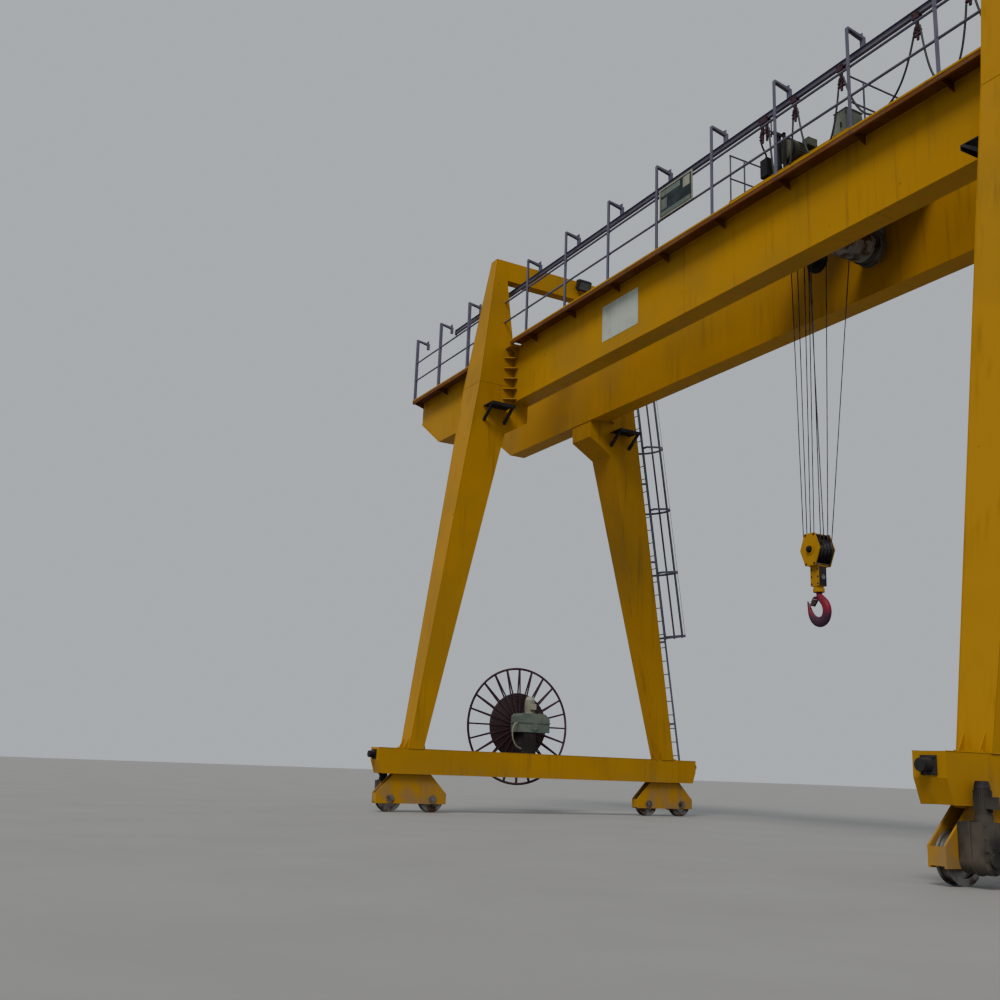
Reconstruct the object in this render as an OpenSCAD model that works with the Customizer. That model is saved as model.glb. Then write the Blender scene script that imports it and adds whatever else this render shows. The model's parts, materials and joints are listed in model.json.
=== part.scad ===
// Double girder gantry crane on leaning legs, with a trolley, a hook block on eight rope
// falls, a festoon power line over the front walkway and a spoked cable reel at the left legs.
// X runs along the girders, Y from the front girder to the rear one and Z up from the ground.
// The origin is on the ground, midway between the legs and midway between the girders.

/* [Girders] */
// Length of each girder
girder_len = 21900; // [20400:100:24000]
// Width of a girder over its webs
girder_w = 380; // [340:10:420]
// Distance between the centre lines of the girders, and of the trolley rails on them
gauge = 2038; // [1980:10:2160]
// Height of the girders' underside above the ground
girder_z = 8630; // [8300:10:9000]
// Depth of a girder over its flanges
girder_h = 1270; // [1200:10:1340]
// How far the flanges stand out past the webs
flange_lip = 15; // [6:1:24]
// Thickness of the flanges
flange_t = 20; // [12:1:30]
// Length of the sloping underside at each end of a girder
end_slope_len = 1044; // [600:10:1500]
// Rise of that slope
end_slope_rise = 700; // [400:10:900]
// Height of a trolley rail
rail_h = 55; // [40:1:70]
// Distance from a girder's end to the stop plates on its rail
stop_gap = 450; // [400:10:600]
// Width of a trolley rail's head
rail_w = 50; // [40:1:60]

/* [Legs] */
// Distance from mid-span to the inboard face of the legs
leg_face_x = 6274; // [6000:10:6700]
// Length along X of a leg at its knee
knee_len = 771; // [650:5:850]
// Length along X of a leg at its foot
foot_len = 396; // [340:5:460]
// Length along X of a leg at its top
top_len = 250; // [220:5:320]
// Height of the knee above the girders' underside
knee_rise = 360; // [250:10:500]
// Height of a leg's top above the top of the girders
leg_rise = 2020; // [1900:10:2200]
// Distance from the centre plane to the outer face of a leg at its foot
foot_y = 3222; // [3000:10:3500]
// Thickness along Y of a leg at its foot
foot_w = 312; // [260:5:380]
// Distance from the centre plane to the outer face of a leg at its knee
knee_y = 2037; // [1960:5:2150]
// Distance from the centre plane to the outer face of a leg at its top
top_y = 1737; // [1700:5:1800]
// Thickness along Y of a leg at its top
top_w = 220; // [200:5:240]
// Height of the corbel that carries a girder
corbel_h = 380; // [300:10:460]
// Drop of the corbel's sloping underside
corbel_drop = 350; // [250:10:450]
// Depth of the beam across the tops of the legs
top_beam_h = 460; // [400:10:500]
// Number of stiffener plates in each corner between leg and girder
gusset_count = 5; // [3:1:7]
// Thickness of a stiffener plate
gusset_t = 20; // [12:1:30]

/* [Sill beams and bogies] */
// Height of the sill beams' top above the ground
sill_z = 1200; // [1150:10:1300]
// Depth of a sill beam
sill_h = 480; // [420:10:520]
// Width of a sill beam
sill_w = 380; // [340:10:440]
// How far a sill beam reaches past the rims of its outer wheels
sill_over = 84; // [60:2:120]
// Distance between the two wheels of a bogie
bogie_base = 900; // [800:10:1000]
// Radius of a travelling wheel's tread
wheel_r = 225; // [200:5:240]
// Height of the wheel flanges over the tread
wheel_flange = 25; // [15:1:30]
// Width of a travelling wheel
wheel_w = 130; // [110:5:150]

/* [Walkways] */
// Width of a walkway from the girder's flange to its outer edge
walk_w = 293; // [270:1:320]
// Depth of the walkway's outer edge channel
walk_edge_h = 75; // [60:5:120]
// Distance from the legs' inboard faces to the walkway between them
walk_end_gap = 330; // [200:10:400]
// Height of the railing posts above the walkway
post_h = 1620; // [1560:10:1700]
// Distance between the posts of the main span
post_pitch = 1513; // [1450:1:1540]
// Width of a post's two legs
post_w = 65; // [50:1:80]
// Height of the top rail above the walkway
rail_top = 1020; // [950:10:1100]
// Height of the middle rail above the walkway
rail_mid = 550; // [450:10:600]
// Radius of the rail tubes
rail_r = 21; // [16:1:26]
// Distance from mid-span to the first post outside the legs
outer_post_x = 8020; // [7700:10:8300]

/* [Festoon line] */
// Distance from the centre plane to the festoon track
track_y = 1190; // [1180:1:1200]
// Height of the track's underside above the walkway
track_rise = 1360; // [1340:5:1370]
// Height of the track section
track_h = 100; // [90:5:110]
// Width of the track's flanges
track_w = 60; // [50:2:70]
// Thickness of the track's flanges and web
track_t = 6; // [4:1:8]
// Distance from mid-span to the ends of the track
track_end = 9300; // [9200:10:9600]
// Distance from the right end of the track to the clamp that ends the cable
clamp_gap = 240; // [200:10:300]
// Radius of the festoon cable
cable_r = 16; // [12:1:20]
// Length of cable in one loop
loop_len = 2400; // [2300:10:2450]
// Radius of the saddles that carry the cable
saddle_r = 30; // [24:1:36]

/* [Ladder] */
// Distance between the ladder's stiles
ladder_w = 400; // [360:10:440]
// Distance from the leg's outer face to the ladder
ladder_gap = 170; // [140:10:220]
// Height of the ladder's top above the girders
ladder_over = 1000; // [900:20:1100]
// Distance between the rungs
rung_pitch = 300; // [250:10:320]
// Radius of the cage
cage_r = 340; // [320:10:380]
// Distance between the cage's hoops
hoop_pitch = 1446; // [1300:2:1460]
// Height of the lowest hoop above the ground
cage_z = 3900; // [3600:20:4100]

/* [Cable reel] */
// Radius of the reel over its rim
reel_r = 1240; // [1150:10:1300]
// Height of the reel's axle above the ground
reel_z = 1790; // [1700:10:1900]
// Place of the reel's axle along Y
reel_y = -240; // [-340:10:-140]
// Distance from mid-span to the middle plane of the reel
reel_x = 7270; // [7220:10:7400]
// Number of spokes on each side
spoke_count = 24; // [16:2:30]
// Distance between the two sides
reel_gap = 90; // [70:2:120]
// Radius of the wound cable
coil_r = 690; // [600:10:760]

/* [Trolley] */
// Place of the trolley's left end along X
trolley_x = 720; // [600:10:900]
// Length of the trolley
trolley_len = 2700; // [2660:10:2900]
// Width of the trolley over its side sills
trolley_w = 2222; // [2200:2:2230]
// Depth of the trolley's side sills
trolley_sill_h = 280; // [250:5:300]
// Radius of the trolley wheels
trolley_wheel_r = 150; // [135:5:155]
// Height of the trolley's end rails above its deck
trolley_rail_h = 860; // [800:10:900]
// Place of the hook's centre line along X
hook_x = 1390; // [1360:5:1410]
// Distance from the hook's centre line to the rope drum
drum_dx = 760; // [740:5:780]
// Height of the drum and of the upper sheaves below the top of the girders
drum_drop = 600; // [560:10:640]
// Radius of the rope drum
drum_r = 270; // [240:5:290]
// Radius of the hoist motor
motor_r = 205; // [170:5:220]
// Height of the hoist motor's shaft above the deck
motor_rise = 440; // [400:10:480]

/* [Hook block] */
// Height of the hook's lowest point above the ground
hook_z = 3160; // [3000:10:3400]
// Outer radius of the hook's bowl
hook_r = 235; // [215:5:250]
// Radius of the hook's throat
throat_r = 125; // [110:5:140]
// Thickness of the hook
hook_t = 96; // [80:2:110]
// Height of the block's stem
stem_h = 340; // [300:10:380]
// Height of the cheek plates
cheek_h = 510; // [480:10:560]
// Distance between the outer faces of the cheek plates
block_w = 330; // [320:5:350]
// Radius at which the ropes lie on the sheaves
sheave_r = 178; // [165:1:190]
// Distance between neighbouring sheaves
sheave_pitch = 72; // [70:1:74]
// Radius of the wire rope
rope_r = 9; // [7:1:11]

/* [Hidden] */
$fn = 48;

YELLOW = "#b8860f";
RAIL_PAINT = "#6d6672";
EDGE_BROWN = "#5a3322";
DARK = "#2b2a2c";
TEAL = "#6f8480";
STEEL = "#77777a";
RUST = "#5f3a30";
RED = "#b02338";
BEIGE = "#c9bfae";
GREEN = "#39443f";

// Clearance of a shaft in its bore
fit = 0.05;
// Clearance of a moving piece from the face that it runs on
seat = 0.3;

girder_top = girder_z + girder_h;
web_in = (gauge - girder_w) / 2;
web_out = (gauge + girder_w) / 2;
lip_in = web_in - flange_lip;
lip_out = web_out + flange_lip;
walk_out = lip_out + walk_w;
rail_z = girder_top + rail_h;

knee_z = girder_z + knee_rise;
leg_top = girder_top + leg_rise;
foot_face = leg_face_x + 46;
leg_mid = foot_face + foot_len / 2;
// Middle of a bogie, as a distance from the centre plane
bogie_y = foot_y - foot_w / 2;
sill_len = 2 * (bogie_y + bogie_base / 2 + wheel_r + wheel_flange + sill_over);

SIDES = [-1, 1];
CORNERS = [for (sx = SIDES, sy = SIDES) [sx, sy]];
MAIN_POSTS = [for (i = [-3.5:1:3.5]) i * post_pitch];
OUTER_POSTS = [outer_post_x, outer_post_x + post_pitch, girder_len / 2 - post_w];
ARM_POSTS = concat(MAIN_POSTS, [for (s = SIDES, x = OUTER_POSTS) s * x]);

// Straight line through two points, read at t
function along(a, b, t) = a + (b - a) * t;
// Outer face of a leg at height z, as a distance from the centre plane
function leg_outer(z) = z > knee_z ? along(knee_y, top_y, (z - knee_z) / (leg_top - knee_z))
    : along(foot_y, knee_y, (z - sill_z) / (knee_z - sill_z));
// Outboard edge of a leg at height z, as a distance from mid-span
function leg_edge(z) = z > knee_z
    ? leg_face_x + along(knee_len, top_len, (z - knee_z) / (leg_top - knee_z))
    : along(foot_face + foot_len, leg_face_x + knee_len, (z - sill_z) / (knee_z - sill_z));

// Inboard face of a leg at height z, as a distance from mid-span
function leg_inboard(z) = z > knee_z ? leg_face_x
    : along(foot_face, leg_face_x, (z - sill_z) / (knee_z - sill_z));

module mirrored(sx, sy) {
    mirror([sx < 0 ? 1 : 0, 0, 0]) mirror([0, sy < 0 ? 1 : 0, 0]) children();
}

// Box from its lowest corner and its highest corner
module block(low, high) { translate(low) cube(high - low); }

// Round bar between two points
module bar(a, b, r) {
    d = b - a;
    flat = norm([d[0], d[1]]);
    translate(a) rotate([0, atan2(flat, d[2]), atan2(d[1], d[0])]) cylinder(r = r, h = norm(d));
}

// Plate with an outline in X and Z, from y = 0 towards +Y
module plate_xz(t) { translate([0, t, 0]) rotate([90, 0, 0]) linear_extrude(t) children(); }

// Plate with an outline in Y and Z, from x = 0 towards +X
module plate_yz(t) { rotate([90, 0, 90]) linear_extrude(t) children(); }

// Cylinder along Y from y = a to y = b
module shaft_y(x, z, a, b, r) { translate([x, b, z]) rotate([90, 0, 0]) cylinder(r = r, h = b - a); }

// Cylinder along X from x = a to x = b
module shaft_x(y, z, a, b, r) { translate([a, y, z]) rotate([0, 90, 0]) cylinder(r = r, h = b - a); }

// Girders

function girder_side(drop) = let (l = girder_len / 2, s = end_slope_len, b = girder_z + drop)
    [[-l, b + end_slope_rise], [-l + s, b], [l - s, b], [l, b + end_slope_rise],
        [l, girder_top - drop], [-l, girder_top - drop]];

module girder(side) {
    color(YELLOW) {
        translate([0, side * gauge / 2 - girder_w / 2, 0])
            plate_xz(girder_w) polygon(girder_side(0));
        translate([0, side * gauge / 2 - girder_w / 2 - flange_lip, 0])
            plate_xz(girder_w + 2 * flange_lip) difference() {
                polygon(girder_side(0));
                polygon(girder_side(flange_t));
                translate([-girder_len, girder_z + end_slope_rise + flange_t])
                    square([2 * girder_len, girder_h - end_slope_rise - 2 * flange_t]);
            }
    }
}

module front_girder() { girder(-1); }
module rear_girder() { girder(1); }

// Rails with a stop plate at each end
module trolley_rails() {
    foot_w = 2 * rail_w;
    foot_t = rail_h / 4;
    stop_x = girder_len / 2 - stop_gap;
    stop = [60, 120, 330];
    color(STEEL) for (s = SIDES) translate([0, s * gauge / 2, girder_top]) {
        block([-girder_len / 2 + 200, -foot_w / 2, 0], [girder_len / 2 - 200, foot_w / 2, foot_t]);
        block([-girder_len / 2 + 200, -rail_w / 2, 0], [girder_len / 2 - 200, rail_w / 2, rail_h]);
        for (e = SIDES) translate([e * stop_x, 0, 0]) {
            block([-stop[0] / 2, -stop[1] / 2, 0], [stop[0] / 2, stop[1] / 2, stop[2]]);
            translate([0, 10, 0]) mirror([0, 1, 0]) plate_xz(20)
                polygon([[0, 0], [e * 220, 0], [0, stop[2]]]);
        }
    }
}

// Walkways

walk_gap = 12;
bracket_drop = 150;
deck_t = 8;

// One stretch of walkway between two places along X
module walk_stretch(a, b, posts) {
    edge_t = 10;
    foot = 45;
    block([a, lip_out, girder_top - deck_t], [b, walk_out, girder_top]);
    difference() {
        block([a, walk_out - foot, girder_top - walk_edge_h], [b, walk_out, girder_top]);
        block([a - 1, walk_out - foot - 1, girder_top - walk_edge_h + edge_t],
            [b + 1, walk_out - edge_t, girder_top - deck_t]);
    }
    for (x = posts) translate([x - deck_t / 2, 0, 0]) plate_yz(deck_t)
        polygon([[lip_out, girder_top - deck_t - bracket_drop], [lip_out, girder_top - deck_t],
            [walk_out - edge_t, girder_top - deck_t], [walk_out - edge_t, girder_top - walk_edge_h]]);
}

module walkway(side) {
    start = leg_edge(girder_top - walk_edge_h) + walk_gap;
    color(EDGE_BROWN) mirrored(1, side) {
        walk_stretch(walk_end_gap - leg_face_x, leg_face_x - walk_end_gap, MAIN_POSTS);
        for (s = SIDES) mirrored(s, 1) walk_stretch(start, girder_len / 2, OUTER_POSTS);
    }
}

module front_walkway() { walkway(-1); }
module rear_walkway() { walkway(1); }

// Angle section post, with its corner at the walkway's outer edge
module post(x) {
    t = 7;
    translate([x, walk_out - post_w, girder_top]) linear_extrude(post_h)
        polygon([[-post_w / 2, post_w], [-post_w / 2, 0], [-post_w / 2 + t, 0],
            [-post_w / 2 + t, post_w - t], [post_w / 2, post_w - t], [post_w / 2, post_w]]);
}

module railing(side) {
    y = walk_out - post_w / 2;
    color(RAIL_PAINT) mirrored(1, side) {
        for (x = MAIN_POSTS) post(x);
        for (h = [rail_top, rail_mid]) let (z = girder_top + h) {
            shaft_x(y, z, -leg_face_x, leg_face_x, rail_r);
            for (s = SIDES) mirrored(s, 1)
                shaft_x(y, z, leg_edge(z - rail_r), girder_len / 2 - post_w, rail_r);
        }
        for (s = SIDES) mirrored(s, 1) for (x = OUTER_POSTS) post(x);
    }
}

module front_railing() { railing(-1); }
module rear_railing() { railing(1); }

// Festoon line

track_z = girder_top + track_rise;
arm_drop = 50;
arm_h = 46;

module festoon_arms() {
    top = girder_top + post_h;
    inner = track_y - track_w / 2;
    color(RAIL_PAINT) mirrored(1, -1) for (x = ARM_POSTS) {
        translate([x - post_w / 2, 0, 0]) plate_yz(post_w)
            polygon([[walk_out - post_w, top], [walk_out, top], [walk_out, top + arm_h],
                [inner, top + arm_h - arm_drop],
                [inner, track_z + track_h], [inner + track_w, track_z + track_h],
                [inner + track_w, top - arm_drop]]);
        translate([x - post_w / 2, 0, 0]) plate_yz(post_w / 4)
            polygon([[inner, top - arm_drop], [inner, top + arm_h + 60],
                [inner + track_w, top + arm_h + 20], [inner + track_w, top - arm_drop]]);
    }
}

// Rolled section of the track, with an end stop and the fixed cable clamp
module festoon_track() {
    color(RAIL_PAINT) translate([-track_end, -track_y, track_z]) {
        plate_yz(2 * track_end) union() {
            for (z = [0, track_h - track_t]) translate([-track_w / 2, z]) square([track_w, track_t]);
            translate([-track_t / 2, 0]) square([track_t, track_h]);
        }
        for (x = [0, 2 * track_end - 10])
            block([x, -track_w / 2, -saddle_r], [x + 10, track_w / 2, track_h]);
        translate([track_end + clamp_x, 0, 0]) {
            block([-saddle_r, -track_w / 2, saddle_z - track_z], [saddle_r, track_w / 2, 0]);
            shaft_y(0, saddle_z - track_z, -track_w / 2, track_w / 2, saddle_r);
        }
    }
}

// Places of the carriers at rest, from the fixed clamp to the one that the trolley tows
CARRIER_X = [7900, 6750, 5600, 4750, 3350, 2390, 1700];
saddle_z = track_z - 190;
clamp_x = track_end - clamp_gap;
roller_r = 18;
cheek_gap = 6;

// Two side plates with four rollers on the track's lower flange, and a saddle below
module carrier(x, half, saddles) {
    y_in = track_w / 2 + cheek_gap;
    y_out = y_in + 6;
    roller_z = track_z + track_t + roller_r + seat;
    color(RUST) translate([x, -track_y, 0]) {
        for (s = SIDES) mirrored(1, s) {
            block([-half, y_in, track_z - 40], [half, y_out, roller_z + roller_r + 4]);
            for (e = SIDES) shaft_y(e * (half - roller_r - 4), roller_z, 8, y_out, roller_r);
        }
        block([-half, -y_out, track_z - 52], [half, y_out, track_z - 40]);
        for (dx = saddles) translate([dx, 0, 0]) {
            block([-12, -track_w / 2, saddle_z], [12, track_w / 2, track_z - 45]);
            shaft_y(0, saddle_z, -track_w / 2, track_w / 2, saddle_r);
        }
    }
}

carrier_half = 62;

module festoon_carrier(i) { carrier(CARRIER_X[i], carrier_half, [0]); }
module festoon_carrier_1() { festoon_carrier(0); }
module festoon_carrier_2() { festoon_carrier(1); }
module festoon_carrier_3() { festoon_carrier(2); }
module festoon_carrier_4() { festoon_carrier(3); }
module festoon_carrier_5() { festoon_carrier(4); }
module festoon_carrier_6() { festoon_carrier(5); }

tow_half = 100;
tow_saddle = 50;
tow_bar_w = 50;
tow_gap = 6;
tow_dx = 150;
tow_bar_z = track_z - 250;
// Place of the towing lugs across the track, clear of the cable
LUG_Y = [22, 42];

// The towed carrier has two saddles, and two lugs that the trolley's arm pushes
module tow_carrier() {
    x = CARRIER_X[6];
    color(RUST) union() {
        carrier(x, tow_half, [-tow_saddle, tow_saddle]);
        translate([x + tow_dx, -track_y, 0]) {
            for (s = SIDES) mirrored(s, 1)
                block([tow_bar_w / 2 + tow_gap, LUG_Y[0], tow_bar_z - 90],
                    [tow_bar_w / 2 + tow_gap + 10, LUG_Y[1], track_z - 44]);
            block([tow_half - tow_dx - 20, LUG_Y[0], track_z - 52],
                [tow_bar_w / 2 + tow_gap + 10, LUG_Y[1], track_z - 40]);
        }
    }
}

function sinh(x) = (exp(x) - exp(-x)) / 2;
function cosh(x) = (exp(x) + exp(-x)) / 2;
// Solves sinh(k) / k = ratio by halving the interval
function chain_k(ratio, lo = 0.01, hi = 12, n = 40) = let (mid = (lo + hi) / 2)
    n == 0 ? mid : sinh(mid) / mid < ratio ? chain_k(ratio, mid, hi, n - 1)
    : chain_k(ratio, lo, mid, n - 1);
// Points of a cable of a given length that hangs between two places at height z
function hanging(a, b, z, len, n = 18) = let (
        half = (b - a) / 2, k = chain_k(len / (b - a)), c = half / k)
    [for (i = [0:n]) let (
            s = len * (i / n - 0.5),
            t = ln(s / c + sqrt(s * s / (c * c) + 1)))
        [(a + b) / 2 + c * t, -track_y, z - c * (cosh(k) - cosh(t))]];

// Ring of points around p, square to the direction d
function ring(p, d, r, sides) = let (
        w = d / norm(d), side = abs(w[1]) < 0.9 ? [0, 1, 0] : [1, 0, 0],
        u0 = cross(w, side), u = u0 / norm(u0), v = cross(w, u))
    [for (i = [0:sides - 1]) let (a = 360 * i / sides) p + r * (u * cos(a) + v * sin(a))];
function heading(path, i) = path[min(i + 1, len(path) - 1)] - path[max(i - 1, 0)];

// Tube along a path of points
module tube(path, r, sides = 8) {
    n = len(path);
    points = [for (i = [0:n - 1]) each ring(path[i], heading(path, i), r, sides)];
    walls = [for (i = [0:n - 2], j = [0:sides - 1]) let (k = (j + 1) % sides)
        [i * sides + j, i * sides + k, (i + 1) * sides + k, (i + 1) * sides + j]];
    polyhedron(points, concat([[for (j = [sides - 1:-1:0]) j]], walls,
        [[for (j = [0:sides - 1]) (n - 1) * sides + j]]), convexity = 6);
}

// Route of the lead from the towed carrier to the junction box
function lead_route() = let (a = CARRIER_X[6] - tow_saddle - saddle_r - cable_r - seat,
        b = jbox_x, y = jbox_y, top = deck_z + jbox_z + jbox_size[2])
    [[a, -track_y, saddle_z], [a - 2, -track_y + 2, saddle_z - 110],
        [a - 12, along(-track_y, y, 0.18), saddle_z - 190],
        [a - 40, along(-track_y, y, 0.55), saddle_z - 245], [b + 12, along(-track_y, y, 0.9), top + 85],
        [b, y, top + 45], [b, y, top + 1]];

module festoon_cable() {
    stops = concat([clamp_x], CARRIER_X);
    color(DARK) {
        for (i = [0:len(CARRIER_X) - 1]) let (
                a = stops[i + 1] + (i == 6 ? tow_saddle : 0), b = stops[i],
                k = chain_k(loop_len / (b - a - 2 * (saddle_r + cable_r))),
                off = saddle_r + cable_r * sinh(k) / cosh(k) + seat)
            tube(hanging(a + off, b - off, saddle_z, loop_len), cable_r);
        tube(lead_route(), cable_r);
    }
}

// Legs

// Outline of a leg and its corbel in Y and Z
function leg_front() = let (
        lean = (foot_y - foot_w - lip_out) / (girder_z - sill_z),
        corbel_z = girder_z - corbel_h - corbel_drop)
    [[foot_y - foot_w, sill_z], [foot_y, sill_z], [knee_y, knee_z], [top_y, leg_top],
        [top_y - top_w, leg_top], [lip_out + 15, girder_top], [lip_out, girder_top],
        [lip_out, girder_z], [web_in, girder_z], [web_in, girder_z - corbel_h],
        [lip_out + lean * (girder_z - corbel_z), corbel_z]];
// Outline of a leg in X and Z
function leg_side() = [[foot_face, sill_z], [foot_face + foot_len, sill_z],
    [leg_face_x + knee_len, knee_z], [leg_face_x + top_len, leg_top], [leg_face_x, leg_top],
    [leg_face_x, knee_z]];

module leg(sx, sy) {
    color(YELLOW) mirrored(sx, sy) intersection() {
        plate_xz(foot_y + 1) polygon(leg_side());
        plate_yz(leg_face_x + knee_len + 1) polygon(leg_front());
    }
}

module front_left_leg() { leg(-1, -1); }
module rear_left_leg() { leg(-1, 1); }
module front_right_leg() { leg(1, -1); }
module rear_right_leg() { leg(1, 1); }

// Inner face of a leg at height z, above the girders
function leg_inner(z) = along(lip_out + 15, top_y - top_w, (z - girder_top) / leg_rise);

module top_beams() {
    low = leg_top - top_beam_h;
    color(YELLOW) for (s = SIDES) mirrored(s, 1) translate([leg_face_x, 0, 0])
        plate_yz(leg_edge(leg_top) - leg_face_x)
            polygon([[-leg_inner(low), low], [leg_inner(low), low],
                [leg_inner(leg_top), leg_top], [-leg_inner(leg_top), leg_top]]);
}

// Stiffeners in the corner between a leg's inboard face and the girder's outer web
module leg_gussets() {
    len_x = 180;
    depth = 260;
    step = (girder_h - 90) / gusset_count;
    color(YELLOW) for (c = CORNERS, i = [0:gusset_count - 1]) mirrored(c[0], c[1])
        translate([0, 0, girder_z + 40 + i * step]) linear_extrude(gusset_t)
            polygon([[leg_face_x, web_out], [leg_face_x, web_out + depth],
                [leg_face_x - 40, web_out + depth], [leg_face_x - len_x, web_out + 60],
                [leg_face_x - len_x, web_out]]);
}

// Plate on two struts on the inboard face of a leg, under the walkway
module access_brackets() {
    z = girder_z - 200;
    reach = 420;
    drop = 330;
    y0 = lip_out + 150;
    y1 = leg_outer(z) - 190;
    strut_x = leg_inboard(z + 60 - drop) - fit;
    color(DARK) for (c = CORNERS) mirrored(c[0], c[1]) {
        block([leg_face_x - reach, y0, z], [leg_inboard(z + 12), y1, z + 12]);
        block([leg_face_x - reach, y0, z - 60], [leg_face_x - reach + 8, y1, z + 12]);
        for (y = [y0, y1 - 60]) translate([0, y, 0]) plate_xz(60)
            polygon([[leg_face_x - reach, z], [strut_x, z - drop], [strut_x, z + 60 - drop],
                [leg_face_x - reach + 60, z]]);
    }
}

// Flood lamp with a hood of tapering depth, hung from a bracket
module flood_lamp() {
    color(DARK) {
        plate_xz(360) polygon([[0, 0], [150, 60], [150, 190], [0, 260]]);
        block([-90, 60, 110], [1, 100, 150]);
        block([-90, 260, 110], [1, 300, 150]);
        block([-98, 60, 100], [-90, 300, 160]);
    }
}

module flood_lamps() {
    for (s = SIDES) mirrored(s, 1) {
        translate([leg_face_x - 98, 300, leg_top - 330]) mirror([1, 0, 0]) flood_lamp();
        translate([leg_face_x - 98, -1330, leg_top - top_beam_h - 90]) mirror([1, 0, 0]) flood_lamp();
    }
}

// Ground level

module sill_beams() {
    color(YELLOW) for (s = SIDES) mirrored(s, 1) difference() {
        block([leg_mid - sill_w / 2, -sill_len / 2, sill_z - sill_h],
            [leg_mid + sill_w / 2, sill_len / 2, sill_z]);
        for (e = SIDES) mirrored(1, e) translate([leg_mid - sill_w, 0, 0]) plate_yz(2 * sill_w)
            polygon([[bogie_y + 700, sill_z - sill_h - 1], [sill_len / 2 + 1, sill_z - sill_h - 1],
                [sill_len / 2 + 1, sill_z - sill_h / 2]]);
    }
}

axle_z = wheel_r + wheel_flange;
bogie_t = 25;
bogie_top = sill_z - sill_h;
axle_r = 45;

// Two side plates under the sill beam, with a bore for each axle
module bogies() {
    half = bogie_base / 2;
    end = half + wheel_r + wheel_flange + 45;
    wide = wheel_w / 2 + 12;
    color(YELLOW) for (c = CORNERS) mirrored(c[0], c[1]) translate([leg_mid, bogie_y, 0]) {
        for (s = SIDES) mirrored(s, 1) difference() {
            translate([wide, 0, 0]) plate_yz(bogie_t) polygon([[-end, axle_z - 90],
                [end, axle_z - 90], [end, axle_z + 110], [half - 60, bogie_top],
                [60 - half, bogie_top], [-end, axle_z + 110]]);
            for (e = SIDES) shaft_x(e * half, axle_z, 0, wide + 2 * bogie_t, axle_r + fit);
        }
        block([-wide - bogie_t, -half + 60, bogie_top - 30], [wide + bogie_t, half - 60, bogie_top]);
        for (e = SIDES) mirrored(1, e)
            block([-wide, end - 25, axle_z - 70], [wide, end, axle_z + 100]);
    }
}

module travel_wheels() {
    axle = wheel_w / 2 + 12 + bogie_t + 35;
    rim = wheel_w / 2;
    color(STEEL) for (c = CORNERS, e = SIDES) mirrored(c[0], c[1])
        translate([leg_mid, bogie_y + e * bogie_base / 2, axle_z]) rotate([0, 90, 0])
            rotate_extrude() polygon([[0, -axle], [axle_r, -axle], [axle_r, -rim - 8],
                [90, -rim - 8], [90, -rim + 25], [wheel_r - 45, -rim + 25], [wheel_r - 45, -rim],
                [wheel_r + wheel_flange, -rim], [wheel_r + wheel_flange - 6, -rim + 22],
                [wheel_r, -rim + 26], [wheel_r, rim - 26], [wheel_r + wheel_flange - 6, rim - 22],
                [wheel_r + wheel_flange, rim], [wheel_r - 45, rim], [wheel_r - 45, rim - 25],
                [90, rim - 25], [90, rim + 8], [axle_r, rim + 8], [axle_r, axle], [0, axle]]);
}

// Gear case on the outer wheel's axle, with an upright motor that reaches past the sill beam
module travel_drives() {
    x0 = wheel_w / 2 + 12 + bogie_t;
    y = bogie_base / 2;
    case_w = sill_w / 2 - x0 + 190;
    mx = x0 + case_w - 85;
    color(DARK) for (c = CORNERS) mirrored(c[0], c[1]) translate([leg_mid, bogie_y, 0]) {
        difference() {
            translate([x0 + 2, 0, 0]) union() {
                shaft_x(y, axle_z, 0, case_w, 130);
                block([0, y - 130, axle_z], [case_w, y + 130, axle_z + 330]);
            }
            shaft_x(y, axle_z, 0, x0 + 36, axle_r + fit);
        }
        translate([mx, y, axle_z + 330]) {
            cylinder(r = 82, h = 60);
            cylinder(r = 70, h = 300);
            translate([0, 0, 300]) cylinder(r1 = 74, r2 = 60, h = 60);
        }
    }
}

// Rubber buffer on a plate at each end of the sill beams
module buffers() {
    z = sill_z - 130;
    color(DARK) for (c = CORNERS) mirrored(c[0], c[1]) translate([leg_mid, sill_len / 2, z]) {
        block([-90, 0, -90], [90, 16, 90]);
        shaft_y(0, 0, 16, 130, 62);
    }
}

// Ladder

lean = atan((foot_y - knee_y) / (knee_z - sill_z));
ladder_x = -(leg_face_x + 60 + ladder_w / 2);
ladder_foot_z = sill_z + 5;
ladder_len = (girder_top + ladder_over - ladder_foot_z) / cos(lean);

// Frame that follows the rear left leg's outer face, with z up along the ladder
module on_leg(z) {
    translate([ladder_x, leg_outer(sill_z) + (sill_z - z) * tan(lean) + ladder_gap, z])
        rotate([lean, 0, 0]) children();
}

module ladder() {
    rungs = floor((ladder_len - 200) / rung_pitch);
    grips = [for (z = [2000:1800:8500]) z];
    color(RAIL_PAINT) {
        on_leg(ladder_foot_z) {
            for (s = SIDES) block([s * ladder_w / 2 - 6, -25, 0], [s * ladder_w / 2 + 6, 25, ladder_len]);
            for (i = [0:rungs - 1])
                shaft_x(0, 100 + i * rung_pitch, -ladder_w / 2, ladder_w / 2, 11);
        }
        for (z = grips) on_leg(z) for (s = SIDES)
            block([s * ladder_w / 2 - 5, -ladder_gap * cos(lean), -25], [s * ladder_w / 2 + 5, 0, 25]);
    }
}

hoop_count = floor((girder_top - cage_z) / hoop_pitch) + 1;

// Half ring of radius r round a point on the y axis, seen from above
hoop_sides = 15;
function half_ring(r, cy) = [for (i = [0:hoop_sides]) let (a = 180 * i / hoop_sides)
    [-r * cos(a), cy + r * sin(a)]];

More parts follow.
